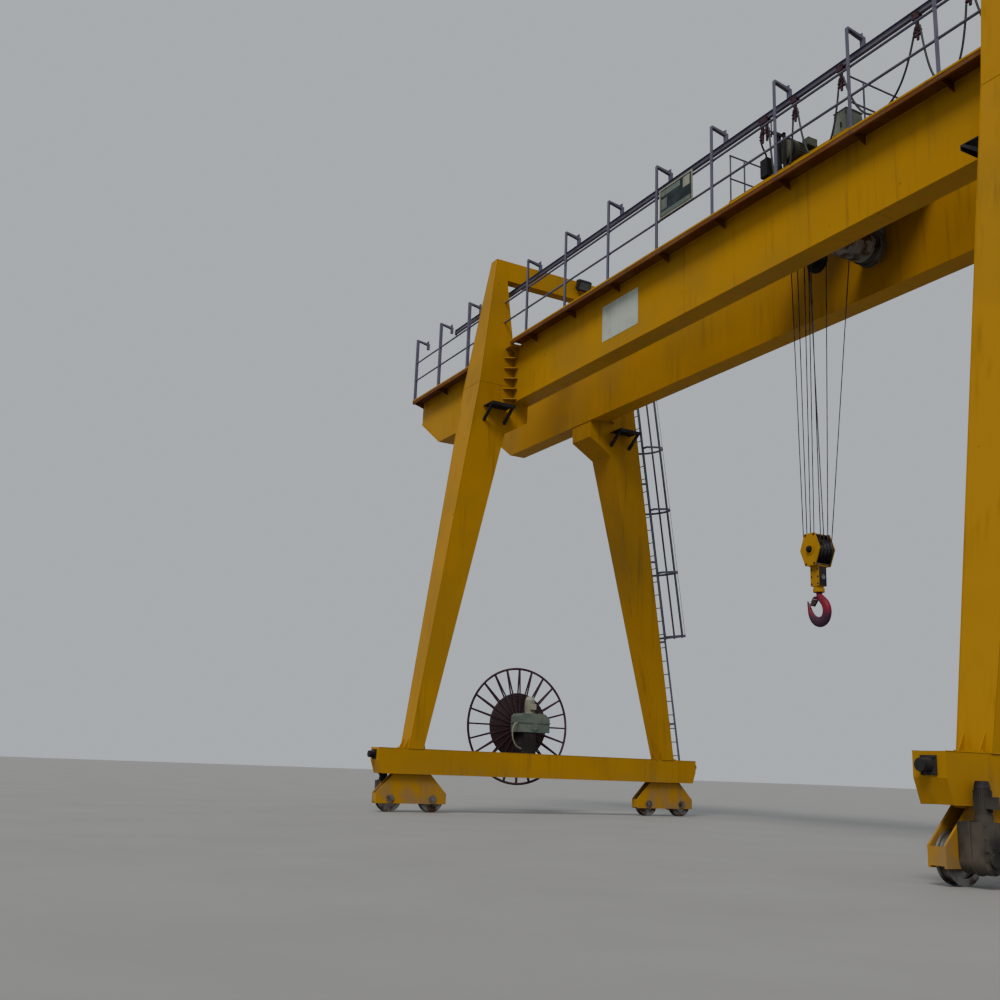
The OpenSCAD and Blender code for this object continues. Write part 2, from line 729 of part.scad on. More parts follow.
// Hoops of flat bar with upright straps inside them
module ladder_cage() {
    t = 8;
    strap = 45;
    long = (hoop_count - 1) * hoop_pitch / cos(lean);
    cy = cage_r * 0.95;
    color(RAIL_PAINT) on_leg(cage_z) {
        for (i = [0:hoop_count - 1]) translate([0, 0, i * hoop_pitch / cos(lean) - 25])
            linear_extrude(50) polygon(concat([[-cage_r - t, 18]], half_ring(cage_r + t, cy),
                [[cage_r + t, 18], [cage_r, 18]], [for (i = [hoop_sides:-1:0]) half_ring(cage_r, cy)[i]],
                [[-cage_r, 18]]));
        for (i = [0:hoop_count - 1], s = SIDES) translate([0, 0, i * hoop_pitch / cos(lean) - 25])
            mirrored(s, 1) block([ladder_w / 2 + 6, 18, 0], [cage_r + 1, 26, 50]);
        flat = cage_r * cos(90 / hoop_sides);
        for (a = [-72, -36, 0, 36, 72]) translate([0, cy, 0]) rotate([0, 0, a])
            block([-strap / 2, flat - t + 2, -40], [strap / 2, flat + 3, long + 40]);
    }
}

// Cable reel

stand_x = leg_mid + sill_w / 2;
gear_x = [stand_x + 20, reel_x - reel_gap / 2 - 70];
reel_axle_r = 40;

// Bracket on the sill beam's outer side, with a column under the gear case
module reel_stand() {
    top = reel_z - 140;
    color(DARK) mirrored(-1, 1) {
        block([stand_x, reel_y - 260, sill_z - 300], [stand_x + 16, reel_y + 260, sill_z - 20]);
        block([stand_x, reel_y - 200, sill_z - 36], [gear_x[1], reel_y + 200, sill_z - 20]);
        for (dy = [-200, 184]) translate([0, reel_y + dy, 0]) plate_xz(16)
            polygon([[stand_x, sill_z - 300], [gear_x[1], sill_z - 60], [gear_x[1], sill_z - 20],
                [stand_x, sill_z - 20]]);
        block([gear_x[0] + 20, reel_y - 150, sill_z - 20], [gear_x[1] - 20, reel_y + 150, top]);
    }
}

module reel_gearbox() {
    low = reel_z - 140;
    high = reel_z + 250;
    color(TEAL) mirrored(-1, 1) {
        translate([gear_x[0], reel_y, 0]) plate_yz(gear_x[1] - gear_x[0])
            polygon([[-240, low], [470, low], [470, high - 110], [360, high], [-180, high],
                [-240, high - 60]]);
        shaft_x(reel_y, reel_z, gear_x[1] - 1, reel_x + reel_gap / 2 + 60, reel_axle_r);
    }
}

module reel_motor() {
    base = reel_z + 250;
    cx = (gear_x[0] + gear_x[1]) / 2;
    color(BEIGE) mirrored(-1, 1) translate([cx, reel_y + 90, base]) {
        cylinder(r = 118, h = 26);
        cylinder(r = 100, h = 290);
        translate([0, 0, 290]) cylinder(r1 = 104, r2 = 70, h = 70);
    }
}

// Two spoked sides on a hub, tied at the rim
module reel_wheel() {
    rim = 26;
    hub_r = 120;
    side = reel_gap / 2;
    color(RUST) mirrored(-1, 1) translate([reel_x, reel_y, reel_z]) rotate([0, 90, 0]) {
        rotate_extrude() polygon([[reel_axle_r + fit, -side - 60], [hub_r, -side - 60],
            [hub_r, side + 60], [reel_axle_r + fit, side + 60]]);
        for (s = SIDES) {
            translate([0, 0, s * side - 7]) rotate_extrude($fn = 96)
                translate([reel_r - rim * 2, 0]) square([rim * 2, 14]);
            for (i = [0:spoke_count - 1]) rotate([0, 0, 360 * i / spoke_count])
                translate([hub_r - 10, -13, s * side - 5]) cube([reel_r - rim - hub_r, 26, 10]);
        }
        for (i = [0:spoke_count / 2 - 1]) rotate([0, 0, 720 * i / spoke_count])
            translate([reel_r - rim, 0, -side]) cylinder(r = 11, h = reel_gap);
    }
}

// Wound cable between the two sides
module reel_cable() {
    side = reel_gap / 2 - 7 - 1;
    color(DARK) mirrored(-1, 1) translate([reel_x, reel_y, reel_z]) rotate([0, 90, 0])
        rotate_extrude($fn = 96) polygon([[120, -side], [coil_r, -side + 10], [coil_r + 8, 0],
            [coil_r, side - 10], [120, side]]);
}

// Trolley

trolley_end = trolley_x + trolley_len;
deck_z = rail_z + trolley_wheel_r * 2 + 33;
sill_low = deck_z - trolley_sill_h;
wheel_x = [trolley_x + 232, trolley_end - 232];
trolley_axle_r = 32;
twheel_w = 84;
tsill_w = 190;
tsill_in = gauge / 2 - tsill_w / 2;
drum_z = girder_top - drum_drop;
drum_x = hook_x + drum_dx;
drum_half = 620;
hanger_y = 690;
drive_half = 42;
drive_y = [200, 400];
plate_t = 10;
CROSS = [trolley_x, hook_x - 390, hook_x + 270, drum_x + 380, trolley_end - 120];

// Open frame of two side sills and cross beams, with a plate deck and the drum's front hanger
module trolley_frame() {
    inner = tsill_in;
    color(YELLOW) {
        for (s = SIDES) mirrored(1, s) difference() {
            block([trolley_x, inner, sill_low], [trolley_end, inner + tsill_w, deck_z]);
            for (x = wheel_x) {
                block([x - trolley_wheel_r - 30, gauge / 2 - twheel_w / 2 - 8, sill_low - 1],
                    [x + trolley_wheel_r + 30, gauge / 2 + twheel_w / 2 + 8, deck_z - 12]);
                shaft_y(x, rail_z + seat + trolley_wheel_r, inner - 1, inner + tsill_w + 1,
                    trolley_axle_r + fit);
            }
        }
        for (x = CROSS) block([x, -inner, deck_z - 200], [x + 120, inner, deck_z]);
        difference() {
            block([trolley_x, -inner - 20, deck_z], [trolley_end, inner + 20, deck_z + plate_t]);
            block([drum_x - 240, -hanger_y + 20, deck_z - 1],
                [drum_x + 370, hanger_y - 330, deck_z + plate_t + 1]);
            block([drum_x - 160, hanger_y - 30, deck_z - 1],
                [drum_x + 160, lip_in - 10, deck_z + plate_t + 1]);
            block([wheel_x[0] - drive_half - 5, drive_y[0] - 5, deck_z - 1],
                [wheel_x[0] + drive_half + 5, drive_y[1] + 5, deck_z + plate_t + 1]);
        }
        y = -lip_in + 20;
        difference() {
            union() {
                block([drum_x - 105, y, drum_z], [drum_x + 105, y + 24, deck_z + 1]);
                shaft_y(drum_x, drum_z, y, y + 24, 130);
            }
            shaft_y(drum_x, drum_z, y - 1, y + 25, 45 + fit);
        }
    }
}

module trolley_wheels() {
    r = trolley_wheel_r;
    half = twheel_w / 2;
    axle = tsill_w / 2 + 10;
    color(STEEL) for (x = wheel_x, s = SIDES)
        translate([x, s * gauge / 2, rail_z + seat + r]) rotate([90, 0, 0])
            rotate_extrude() polygon([[0, -axle], [trolley_axle_r, -axle], [trolley_axle_r, -half],
                [r + 18, -half], [r + 15, -half + 8], [r, -half + 12], [r, half - 12],
                [r + 15, half - 8], [r + 18, half], [trolley_axle_r, half], [trolley_axle_r, axle],
                [0, axle]]);
}

// Rails across both ends of the deck
module trolley_handrails() {
    r = 15;
    y = trolley_w / 2 - 22;
    base = deck_z;
    posts = [-y, -y + 310, 0, y - 310, y];
    color(RAIL_PAINT) for (x = [trolley_x + 25, trolley_end - 25]) {
        for (py = posts) bar([x, py, base + (abs(py) < tsill_in ? plate_t : 0)],
            [x, py, base + trolley_rail_h], r);
        for (h = [trolley_rail_h / 2, trolley_rail_h])
            shaft_y(x, base + h, -y - r, y + r, r);
    }
}

// Grooved drum between its flanges, with a shaft at each end
module rope_drum() {
    turns = 22;
    pitch = 2 * (drum_half - 60) / turns;
    deep = 7;
    groove = [for (i = [0:2 * turns]) [drum_r - (i % 2 == 0 ? deep : 0), -drum_half + 60 + i * pitch / 2]];
    end = lip_in - 20;
    color(STEEL) translate([drum_x, 0, drum_z]) rotate([90, 0, 0]) rotate_extrude($fn = 72)
        polygon(concat([[0, -end], [45, -end], [45, -drum_half - 25],
            [drum_r + 30, -drum_half - 25], [drum_r + 30, -drum_half], [drum_r - deep, -drum_half]],
            groove,
            [[drum_r - deep, drum_half], [drum_r + 30, drum_half], [drum_r + 30, drum_half + 25],
                [45, drum_half + 25], [45, end], [0, end]]));
}

upper_r = sheave_r + 22;
upper_y = 200;

// Profile of a rope sheave in radius and width
function sheave_profile(r, half) = let (floor_r = r - rope_r - seat)
    [[0, -half], [r + 16, -half], [r + 16, -half + 4], [floor_r, -rope_r - 2],
        [floor_r, rope_r + 2], [r + 16, half - 4], [r + 16, half], [0, half]];

// Two sheaves and an equaliser on hanger plates under the deck
module upper_sheaves() {
    half = 24;
    color(DARK) {
        for (s = SIDES) {
            translate([hook_x, s * upper_y, drum_z]) rotate([90, 0, 0])
                rotate_extrude() polygon(sheave_profile(upper_r, half));
            mirrored(1, s) for (y = [upper_y - half - 26, upper_y + half + 6])
                translate([hook_x, y, 0]) {
                    block([-70, 0, drum_z], [70, 20, deck_z - 100]);
                    shaft_y(0, drum_z, 0, 20, 90);
                }
            mirrored(1, s) shaft_y(hook_x, drum_z, upper_y - half - 30, upper_y + half + 30, 35);
        }
        translate([hook_x - sheave_r, 0, drum_z + 120]) rotate([0, 90, 0]) translate([0, 0, -half])
            rotate_extrude() translate([0, half]) polygon(sheave_profile(equal_r, half));
        for (s = SIDES) translate([hook_x - sheave_r + (s > 0 ? half + 4 : -half - 16), -50, drum_z + 60])
            cube([12, 100, deck_z - 160 - drum_z]);
        shaft_x(0, drum_z + 120, hook_x - sheave_r - half - 20, hook_x - sheave_r + half + 20, 22);
        block([hook_x - 270, -upper_y - 70, deck_z - 110], [hook_x + 270, upper_y + 70, deck_z - 90]);
    }
}

equal_r = 80;

// Gear case on the deck, with a leg that reaches down to the drum's shaft
module hoist_gearbox() {
    y0 = 430;
    leg_y = hanger_y - 20;
    color(TEAL) difference() {
        union() {
            translate([0, y0, 0]) plate_xz(tsill_in - 24 - y0) polygon([
                [drum_x - 480, deck_z + plate_t], [drum_x + 300, deck_z + plate_t],
                [drum_x + 300, deck_z + 430], [drum_x + 180, deck_z + 560],
                [drum_x - 360, deck_z + 700], [drum_x - 480, deck_z + 640]]);
            block([drum_x - 150, leg_y, drum_z], [drum_x + 150, lip_in - 20, deck_z + plate_t + 1]);
            shaft_y(drum_x, drum_z, leg_y, lip_in - 20, 150);
        }
        shaft_y(drum_x, drum_z, leg_y - 1, lip_in, 45 + fit);
    }
}

// Hoist motor with a fan cowl and a terminal box, on a raised bed
module hoist_motor() {
    x = drum_x - 280;
    z = deck_z + motor_rise;
    y0 = -930;
    y1 = -330;
    color(GREEN) {
        shaft_y(x, z, y0 + 120, y1, motor_r - 12);
        shaft_y(x, z, y0, y0 + 130, motor_r);
        shaft_y(x, z, y1 - 30, y1, motor_r + 10);
        for (i = [0:23]) translate([x, 0, z]) rotate([0, 15 * i, 0])
            block([motor_r - 20, y0 + 150, -4], [motor_r + 2, y1 - 50, 4]);
        shaft_y(x, z, y1, 430, 32);
    }
    color(GREEN) for (y = [y0 + 170, y1 - 130])
        block([x - 150, y, deck_z + plate_t], [x + 150, y + 70, z - motor_r * 0.7]);
    color(GREEN) block([x + motor_r - 60, y0 + 240, z + 60], [x + motor_r + 70, y0 + 430, z + 190]);
}

// Brake drum on the motor's shaft, with two shoes on upright arms
module hoist_brake() {
    x = drum_x - 280;
    z = deck_z + motor_rise;
    r = 140;
    color(DARK) {
        difference() {
            shaft_y(x, z, -90, 20, r);
            shaft_y(x, z, -91, 21, 32 + fit);
        }
        for (s = SIDES) {
            block([x + s * (r + 28) - 22, -75, deck_z + plate_t], [x + s * (r + 28) + 22, 5, z + 220]);
            block([min(x + s * r * 0.9, x + s * (r + 10)), -70, z - 60],
                [max(x + s * r * 0.9, x + s * (r + 10)), 0, z + 60]);
        }
        block([x - r - 60, -60, z + 175], [x + r + 60, -10, z + 205]);
        block([x - r - 60, -90, deck_z + plate_t], [x + r + 60, 20, deck_z + plate_t + 30]);
    }
}

// Geared motor that drives the left wheels through a cross shaft
module trolley_drive() {
    x = wheel_x[0];
    z = rail_z + seat + trolley_wheel_r;
    color(TEAL) {
        shaft_y(x, z, -tsill_in + 15, tsill_in - 15, 24);
        block([x - drive_half, drive_y[0], z - 60], [x + drive_half, drive_y[1], deck_z + plate_t + 1]);
        block([x - 110, drive_y[0] - 20, deck_z + plate_t + seat],
            [x + 110, drive_y[1] + 20, deck_z + plate_t + 230]);
        shaft_y(x, deck_z + plate_t + 130, -180, drive_y[0], 100);
        shaft_y(x, deck_z + plate_t + 130, -240, -180, 88);
    }
}

// Upright cabinet with a flared base and a drip roof
module control_cabinet() {
    x0 = drum_x + 740;
    w = 330;
    y0 = -880;
    d = 330;
    base = deck_z + plate_t;
    color(TEAL) {
        translate([0, y0, 0]) plate_xz(d) polygon([[x0 - 90, base], [x0 + w, base],
            [x0 + w, base + 690], [x0, base + 690], [x0 - 60, base + 200]]);
        block([x0 - 15, y0 - 15, base + 690], [x0 + w + 15, y0 + d + 15, base + 710]);
    }
}

jbox_x = 1520;
jbox_y = -1000;
jbox_z = 100;
jbox_size = [170, 120, 320];

// Box on a post at the edge of the deck, where the festoon cable ends
module junction_box() {
    color(DARK) translate([jbox_x, jbox_y, deck_z]) {
        block([-jbox_size[0] / 2, -jbox_size[1] / 2, jbox_z],
            [jbox_size[0] / 2, jbox_size[1] / 2, jbox_z + jbox_size[2]]);
        block([-30, -20, 0], [10, 20, jbox_z]);
    }
}

// Post with a bar that reaches between the lugs of the towed carrier
module tow_arm() {
    x = CARRIER_X[6] + tow_dx;
    top = tow_bar_z;
    color(DARK) {
        block([x - tow_bar_w / 2, -1060, deck_z], [x + tow_bar_w / 2, -1010, top]);
        block([x - tow_bar_w / 2, LUG_Y[0] + 2 - track_y, top - 50], [x + tow_bar_w / 2, -1010, top]);
        translate([x - 5, -1010, deck_z]) plate_yz(10)
            polygon([[0, 0], [60, 0], [0, 300]]);
    }
}

// Hook block

block_low = hook_z + 600;
sheave_z = block_low + stem_h + cheek_h / 2;
SHEAVE_Y = [for (i = [-1.5:1:1.5]) i * sheave_pitch];

// Ends of the rope falls: place on the block and place under the trolley
function falls() = [
    [[sheave_r, SHEAVE_Y[0]], [drum_dx - drum_r - rope_r - seat, -440]],
    [[-sheave_r, SHEAVE_Y[0]], [-upper_r, -upper_y]],
    [[sheave_r, SHEAVE_Y[1]], [upper_r, -upper_y]],
    [[-sheave_r, SHEAVE_Y[1]], [-sheave_r, -equal_r]],
    [[-sheave_r, SHEAVE_Y[2]], [-sheave_r, equal_r]],
    [[sheave_r, SHEAVE_Y[2]], [upper_r, upper_y]],
    [[-sheave_r, SHEAVE_Y[3]], [-upper_r, upper_y]],
    [[sheave_r, SHEAVE_Y[3]], [drum_dx - drum_r - rope_r - seat, 440]]];

module hoist_ropes() {
    color(DARK) for (f = falls()) let (raise = abs(f[1][1]) == equal_r ? 120 : 0)
        bar([hook_x + f[0][0], f[0][1], sheave_z], [hook_x + f[1][0], f[1][1], drum_z + raise], rope_r);
}

pin_r = 28;

// Six-sided plates on both sides of the sheaves
module block_cheeks() {
    t = 18;
    z0 = block_low + stem_h;
    half = 210;
    color(YELLOW) for (s = SIDES) mirrored(1, s) translate([hook_x, block_w / 2 - t, 0])
        difference() {
            plate_xz(t) polygon([[-half, sheave_z], [-half / 2, z0], [half / 2, z0],
                [half, sheave_z], [half / 2, z0 + cheek_h], [-half / 2, z0 + cheek_h]]);
            shaft_y(0, sheave_z, -1, t + 1, pin_r + fit);
        }
    top = z0 + cheek_h;
    color(YELLOW) {
        block([hook_x - 60, -block_w / 2 + t, top - 24], [hook_x + 60, block_w / 2 - t, top]);
        block([hook_x - 90, -block_w / 2 + t, z0], [hook_x + 90, block_w / 2 - t, z0 + 40]);
    }
}

module block_sheaves() {
    half = sheave_pitch / 2 - 4;
    color(STEEL) {
        for (y = SHEAVE_Y) translate([hook_x, y, sheave_z]) rotate([90, 0, 0]) rotate_extrude()
            polygon(sheave_profile(sheave_r, half));
        shaft_y(hook_x, sheave_z, -block_w / 2 - 16, block_w / 2 + 16, pin_r);
    }
}

shank_r = 38;

// Housing under the cheeks that holds the hook's bearing
module block_stem() {
    w = [180, 160];
    color(YELLOW) difference() {
        union() {
            block([hook_x - w[0] / 2, -w[1] / 2, block_low + 30],
                [hook_x + w[0] / 2, w[1] / 2, block_low + stem_h]);
            translate([hook_x, 0, block_low]) cylinder(r = w[1] / 2 - 6, h = 31);
        }
        translate([hook_x, 0, block_low - 1]) cylinder(r = shank_r + fit, h = 221);
    }
}

// Single hook: a crescent in the X-Z plane on a round shank, with its tip to the left
module hook() {
    cz = hook_z + hook_r;
    lift = 30;
    color(RED) {
        translate([hook_x, -hook_t / 2, 0]) plate_xz(hook_t) {
            difference() {
                translate([0, cz]) circle(hook_r, $fn = 72);
                translate([-8, cz + lift]) circle(throat_r, $fn = 72);
                polygon([[-8, cz + lift], [-hook_r * 1.6, cz + 60], [-hook_r * 1.2, cz + hook_r + 60],
                    [-30, cz + hook_r + 60], [-30, cz + lift + throat_r * 0.96]]);
            }
            polygon([[-34, cz + hook_r * 0.95], [-30, cz + 140], [40, cz + 120], [150, cz + 150],
                [70, cz + hook_r + 60], [50, block_low - 60], [-50, block_low - 60]]);
            polygon([[-hook_r + 2, cz + 20], [-hook_r + 6, cz + 110], [-hook_r + 40, cz + 128],
                [-throat_r - 5, cz + 60], [-throat_r - 4, cz + 20]]);
            difference() {
                union() {
                    translate([latch_x, latch_z]) circle(lug_r);
                    translate([latch_x, latch_z - lug_r]) square([40, 2 * lug_r]);
                }
                translate([latch_x, latch_z]) circle(latch_pin_r + fit);
            }
        }
        translate([hook_x, 0, block_low - 61]) cylinder(r = shank_r + 22, h = 56);
        translate([hook_x, 0, block_low - 61]) cylinder(r = shank_r, h = 261);
    }
}

latch_x = -62;
latch_z = hook_z + hook_r + 222;
latch_pin_r = 9;
lug_r = 22;
latch_len = 148;

// Sprung flap across the throat, on a pin through the hook's lug
module hook_latch() {
    gap = 2;
    t = 6;
    slant = atan2(90, 122);
    outer = hook_t / 2 + gap + t;
    color(STEEL) translate([hook_x + latch_x, 0, latch_z]) {
        rotate([0, slant, 0]) {
            for (s = SIDES) mirrored(1, s) translate([0, hook_t / 2 + gap, 0]) plate_xz(t) union() {
                circle(16);
                polygon([[-16, 0], [16, 0], [8, -latch_len], [-10, -latch_len]]);
            }
            block([-10, -outer, -latch_len], [-2, outer, -lug_r - 10]);
        }
        shaft_y(0, 0, -outer, outer, latch_pin_r);
    }
}

front_girder();
rear_girder();
trolley_rails();
front_walkway();
rear_walkway();
front_railing();
rear_railing();
festoon_arms();
festoon_track();
front_left_leg();
rear_left_leg();
front_right_leg();
rear_right_leg();
top_beams();
leg_gussets();
access_brackets();
flood_lamps();
sill_beams();
bogies();
travel_wheels();
travel_drives();
buffers();
ladder();
ladder_cage();
reel_stand();
reel_gearbox();
reel_motor();
reel_wheel();
reel_cable();
trolley_frame();
trolley_wheels();
trolley_handrails();
rope_drum();
upper_sheaves();
hoist_gearbox();
hoist_motor();
hoist_brake();
trolley_drive();
control_cabinet();
junction_box();
tow_arm();
hoist_ropes();
block_cheeks();
block_sheaves();
block_stem();
hook();
hook_latch();
festoon_cable();
festoon_carrier_1();
festoon_carrier_2();
festoon_carrier_3();
festoon_carrier_4();
festoon_carrier_5();
festoon_carrier_6();
tow_carrier();
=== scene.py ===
"""Looks of a double girder gantry crane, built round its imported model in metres.

X runs along the girders, Y from the girder with the festoon line to the other one, and Z up
from the ground. The camera stands on the ground in front of the crane's right half.
"""

from __future__ import annotations

import json
import logging
import math
from collections.abc import Callable, Iterable, Sequence
from dataclasses import dataclass, field, replace
from enum import Enum

import bpy
from mathutils import Matrix, Vector

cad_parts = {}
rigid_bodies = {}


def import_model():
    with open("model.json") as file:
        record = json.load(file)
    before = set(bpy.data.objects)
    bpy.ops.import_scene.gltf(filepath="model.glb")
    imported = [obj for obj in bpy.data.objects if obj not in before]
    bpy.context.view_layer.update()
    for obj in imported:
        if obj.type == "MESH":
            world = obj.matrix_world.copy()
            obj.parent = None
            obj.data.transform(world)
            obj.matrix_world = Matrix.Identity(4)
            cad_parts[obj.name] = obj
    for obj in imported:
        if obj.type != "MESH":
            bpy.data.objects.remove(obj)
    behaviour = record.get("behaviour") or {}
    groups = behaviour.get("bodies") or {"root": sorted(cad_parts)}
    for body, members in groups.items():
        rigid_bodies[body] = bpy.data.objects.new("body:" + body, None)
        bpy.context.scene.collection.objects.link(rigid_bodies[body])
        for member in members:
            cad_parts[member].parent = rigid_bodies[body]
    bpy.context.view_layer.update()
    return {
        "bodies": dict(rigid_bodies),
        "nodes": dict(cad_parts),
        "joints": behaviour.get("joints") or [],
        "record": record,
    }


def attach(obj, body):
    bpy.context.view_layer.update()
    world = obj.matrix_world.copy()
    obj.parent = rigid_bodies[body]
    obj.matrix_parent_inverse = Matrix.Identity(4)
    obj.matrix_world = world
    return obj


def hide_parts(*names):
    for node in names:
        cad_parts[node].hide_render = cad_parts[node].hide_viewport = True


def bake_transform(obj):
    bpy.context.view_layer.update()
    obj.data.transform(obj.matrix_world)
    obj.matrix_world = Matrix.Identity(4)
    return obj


LOG = logging.getLogger("crane")
Point = tuple[float, float, float]
Pair = tuple[float, float]
SIDES = (-1, 1)
CORNERS = tuple((sx, sy) for sx in SIDES for sy in SIDES)


class Body(Enum):
    """Bodies of the frame that a piece can ride on."""

    GANTRY = "gantry"
    REEL = "cable_reel"
    TROLLEY = "trolley"
    BLOCK = "hook_block"
    HOOK = "hook"
    LATCH = "hook_latch"
    CARRIER_1 = "carrier_1"
    CARRIER_2 = "carrier_2"
    CARRIER_3 = "carrier_3"
    CARRIER_4 = "carrier_4"
    CARRIER_5 = "carrier_5"
    CARRIER_6 = "carrier_6"
    TOW = "tow_carrier"


CARRIERS = (Body.CARRIER_1, Body.CARRIER_2, Body.CARRIER_3, Body.CARRIER_4, Body.CARRIER_5, Body.CARRIER_6,
            Body.TOW)


class Slot(Enum):
    """Material slots of the record."""

    YELLOW = "yellow_paint"
    RAIL = "rail_paint"
    BROWN = "brown_paint"
    DARK = "dark_paint"
    TEAL = "teal_paint"
    STEEL = "bare_steel"
    RUST = "rusty_paint"
    RED = "red_paint"
    BEIGE = "beige_paint"
    GREEN = "green_paint"
    CABLE = "cable_sheath"
    ROPE = "wire_rope"


class Axis(Enum):
    """Axis that an outline is pushed out along, with the two that the outline lies in."""

    X = (0, 1, 2)
    Y = (1, 0, 2)
    Z = (2, 0, 1)


# Mesh building


@dataclass
class Solid:
    """Corners and faces of a piece, gathered part by part in metres."""

    points: list[Vector] = field(default_factory=list)
    faces: list[tuple[int, ...]] = field(default_factory=list)

    def add(self, points: Iterable[Sequence[float]], faces: Iterable[Sequence[int]]) -> Solid:
        """Adds corners and faces that count from their own first corner.

        Args:
            points: Corners in the crane's own frame.
            faces: Corner numbers of each face, counted from this call's first corner.

        Returns:
            This solid, so that calls can follow each other.
        """
        first = len(self.points)
        self.points.extend(Vector(p) for p in points)
        self.faces.extend(tuple(first + i for i in f) for f in faces)
        return self

    def box(self, low: Point, high: Point) -> Solid:
        """Adds a box between two opposite corners."""
        outline = [(low[0], low[1]), (high[0], low[1]), (high[0], high[1]), (low[0], high[1])]
        return self.prism(outline, low[2], high[2], Axis.Z)

    def prism(self, outline: Sequence[Pair], low: float, high: float, axis: Axis) -> Solid:
        """Adds an outline that is pushed out along an axis.

        Args:
            outline: Corners in the other two axes, in their order in the frame.
            low: Where one end lies along the axis.
            high: Where the other end lies.
            axis: The axis that it is pushed along.

        Returns:
            This solid.
        """
        along, first, second = axis.value
        n = len(outline)
        area = sum(outline[i - 1][0] * outline[i][1] - outline[i][0] * outline[i - 1][1] for i in range(n))
        if (area > 0) == (axis is Axis.Y):
            outline = outline[::-1]
        low, high = sorted((low, high))
        points = []
        for level in (low, high):
            for u, v in outline:
                p = [0.0, 0.0, 0.0]
                p[along], p[first], p[second] = level, u, v
                points.append(p)
        walls = [(i, (i + 1) % n, n + (i + 1) % n, n + i) for i in range(n)]
        return self.add(points, [tuple(range(n))[::-1], tuple(range(n, 2 * n)), *walls])

    def rod(self, a: Point, b: Point, r: float, sides: int = 12, r_end: float | None = None) -> Solid:
        """Adds a round bar between two points.

        Args:
            a: Middle of one end.
            b: Middle of the other end.
            r: Radius at a.
            sides: Number of corners round it.
            r_end: Radius at b, where the bar is a cone.

        Returns:
            This solid.
        """
        start, end = Vector(a), Vector(b)
        turn = (end - start).to_track_quat("Z", "Y").to_matrix().to_4x4()
        place = Matrix.Translation(start) @ turn
        long = (end - start).length
        return self.lathe([(0, 0), (r, 0), (r if r_end is None else r_end, long), (0, long)], place, sides)

    def lathe(self, profile: Sequence[Pair], place: Matrix, sides: int = 24) -> Solid:
        """Adds a profile that is turned about its own Z axis.

        Args:
            profile: Radius and height of each ring, from one pole or rim to the other.
            place: Where the profile's own frame stands.
            sides: Number of corners round it.

        Returns:
            This solid.
        """
        points: list[Vector] = []
        rings: list[list[int]] = []
        for r, z in profile:
            count = 1 if r < 1e-6 else sides
            rings.append(list(range(len(points), len(points) + count)))
            for i in range(count):
                a = math.tau * i / sides
                points.append(place @ Vector((r * math.cos(a), r * math.sin(a), z)))
        faces = []
        for low, high in zip(rings, rings[1:]):
            for i in range(sides):
                j = (i + 1) % sides
                ring = [low[i % len(low)], low[j % len(low)], high[j % len(high)], high[i % len(high)]]
                face = tuple(dict.fromkeys(ring))
                if len(face) > 2:
                    faces.append(face)
        return self.add(points, faces)

    def sweep(self, path: Sequence[Point], section: Callable[[float], Sequence[Pair]],
              across: Point | None = None) -> Solid:
        """Adds a section that follows a path, with closed ends.

        Args:
            path: Points of the centre line.
            section: Gives the outline, across and up, for a share of the path from 0 to 1.
            across: Direction of the section's first axis at the start, where it matters.

        Returns:
            This solid.
        """
        line = [Vector(p) for p in path]
        last = len(line) - 1
        tangents = [(line[min(i + 1, last)] - line[max(i - 1, 0)]).normalized() for i in range(last + 1)]
        side = Vector(across) if across else tangents[0].orthogonal().normalized()
        points, n = [], 0
        for i, (centre, tangent) in enumerate(zip(line, tangents)):
            side = (side - tangent * side.dot(tangent)).normalized()
            up = tangent.cross(side)
            outline = section(i / last)
            n = len(outline)
            points.extend(centre + side * u + up * v for u, v in outline)
        walls = [(i * n + j, i * n + (j + 1) % n, (i + 1) * n + (j + 1) % n, (i + 1) * n + j)
                 for i in range(last) for j in range(n)]
        return self.add(points, [tuple(range(n))[::-1], tuple(range(last * n, last * n + n)), *walls])

    def tube(self, path: Sequence[Point], r: float, sides: int = 10) -> Solid:
        """Adds a round tube along a path."""
        return self.sweep(path, lambda _: circle(r, sides))

    def ring(self, centre: Point, axis: Point, inner: float, outer: float, deep: float,
             sides: int = 32) -> Solid:
        """Adds a flat ring that stands out from a face.

        Args:
            centre: Middle of the ring on the face.
            axis: Direction that the ring stands out in.
            inner: Inner radius.
            outer: Outer radius.
            deep: How far it stands out.
            sides: Number of corners round it.

        Returns:
            This solid.
        """
        profile = [(inner, 0), (outer, 0), (outer, deep), (inner, deep), (inner, 0)]
        return self.lathe(profile, facing(centre, axis), sides)

    def join(self, other: Solid, sx: int = 1, sy: int = 1) -> Solid:
        """Adds a copy of another solid, mirrored along X or Y where a sign is -1."""
        faces = other.faces if sx * sy > 0 else [f[::-1] for f in other.faces]
        return self.add([(sx * p.x, sy * p.y, p.z) for p in other.points], faces)

    def at_ends(self) -> Solid:
        """Two copies of this solid, mirrored to the crane's left and right end."""
        return Solid().join(self, -1).join(self)

    def at_corners(self) -> Solid:
        """Four copies of this solid, mirrored to the crane's corners."""
        whole = Solid()
        for sx, sy in CORNERS:
            whole.join(self, sx, sy)
        return whole

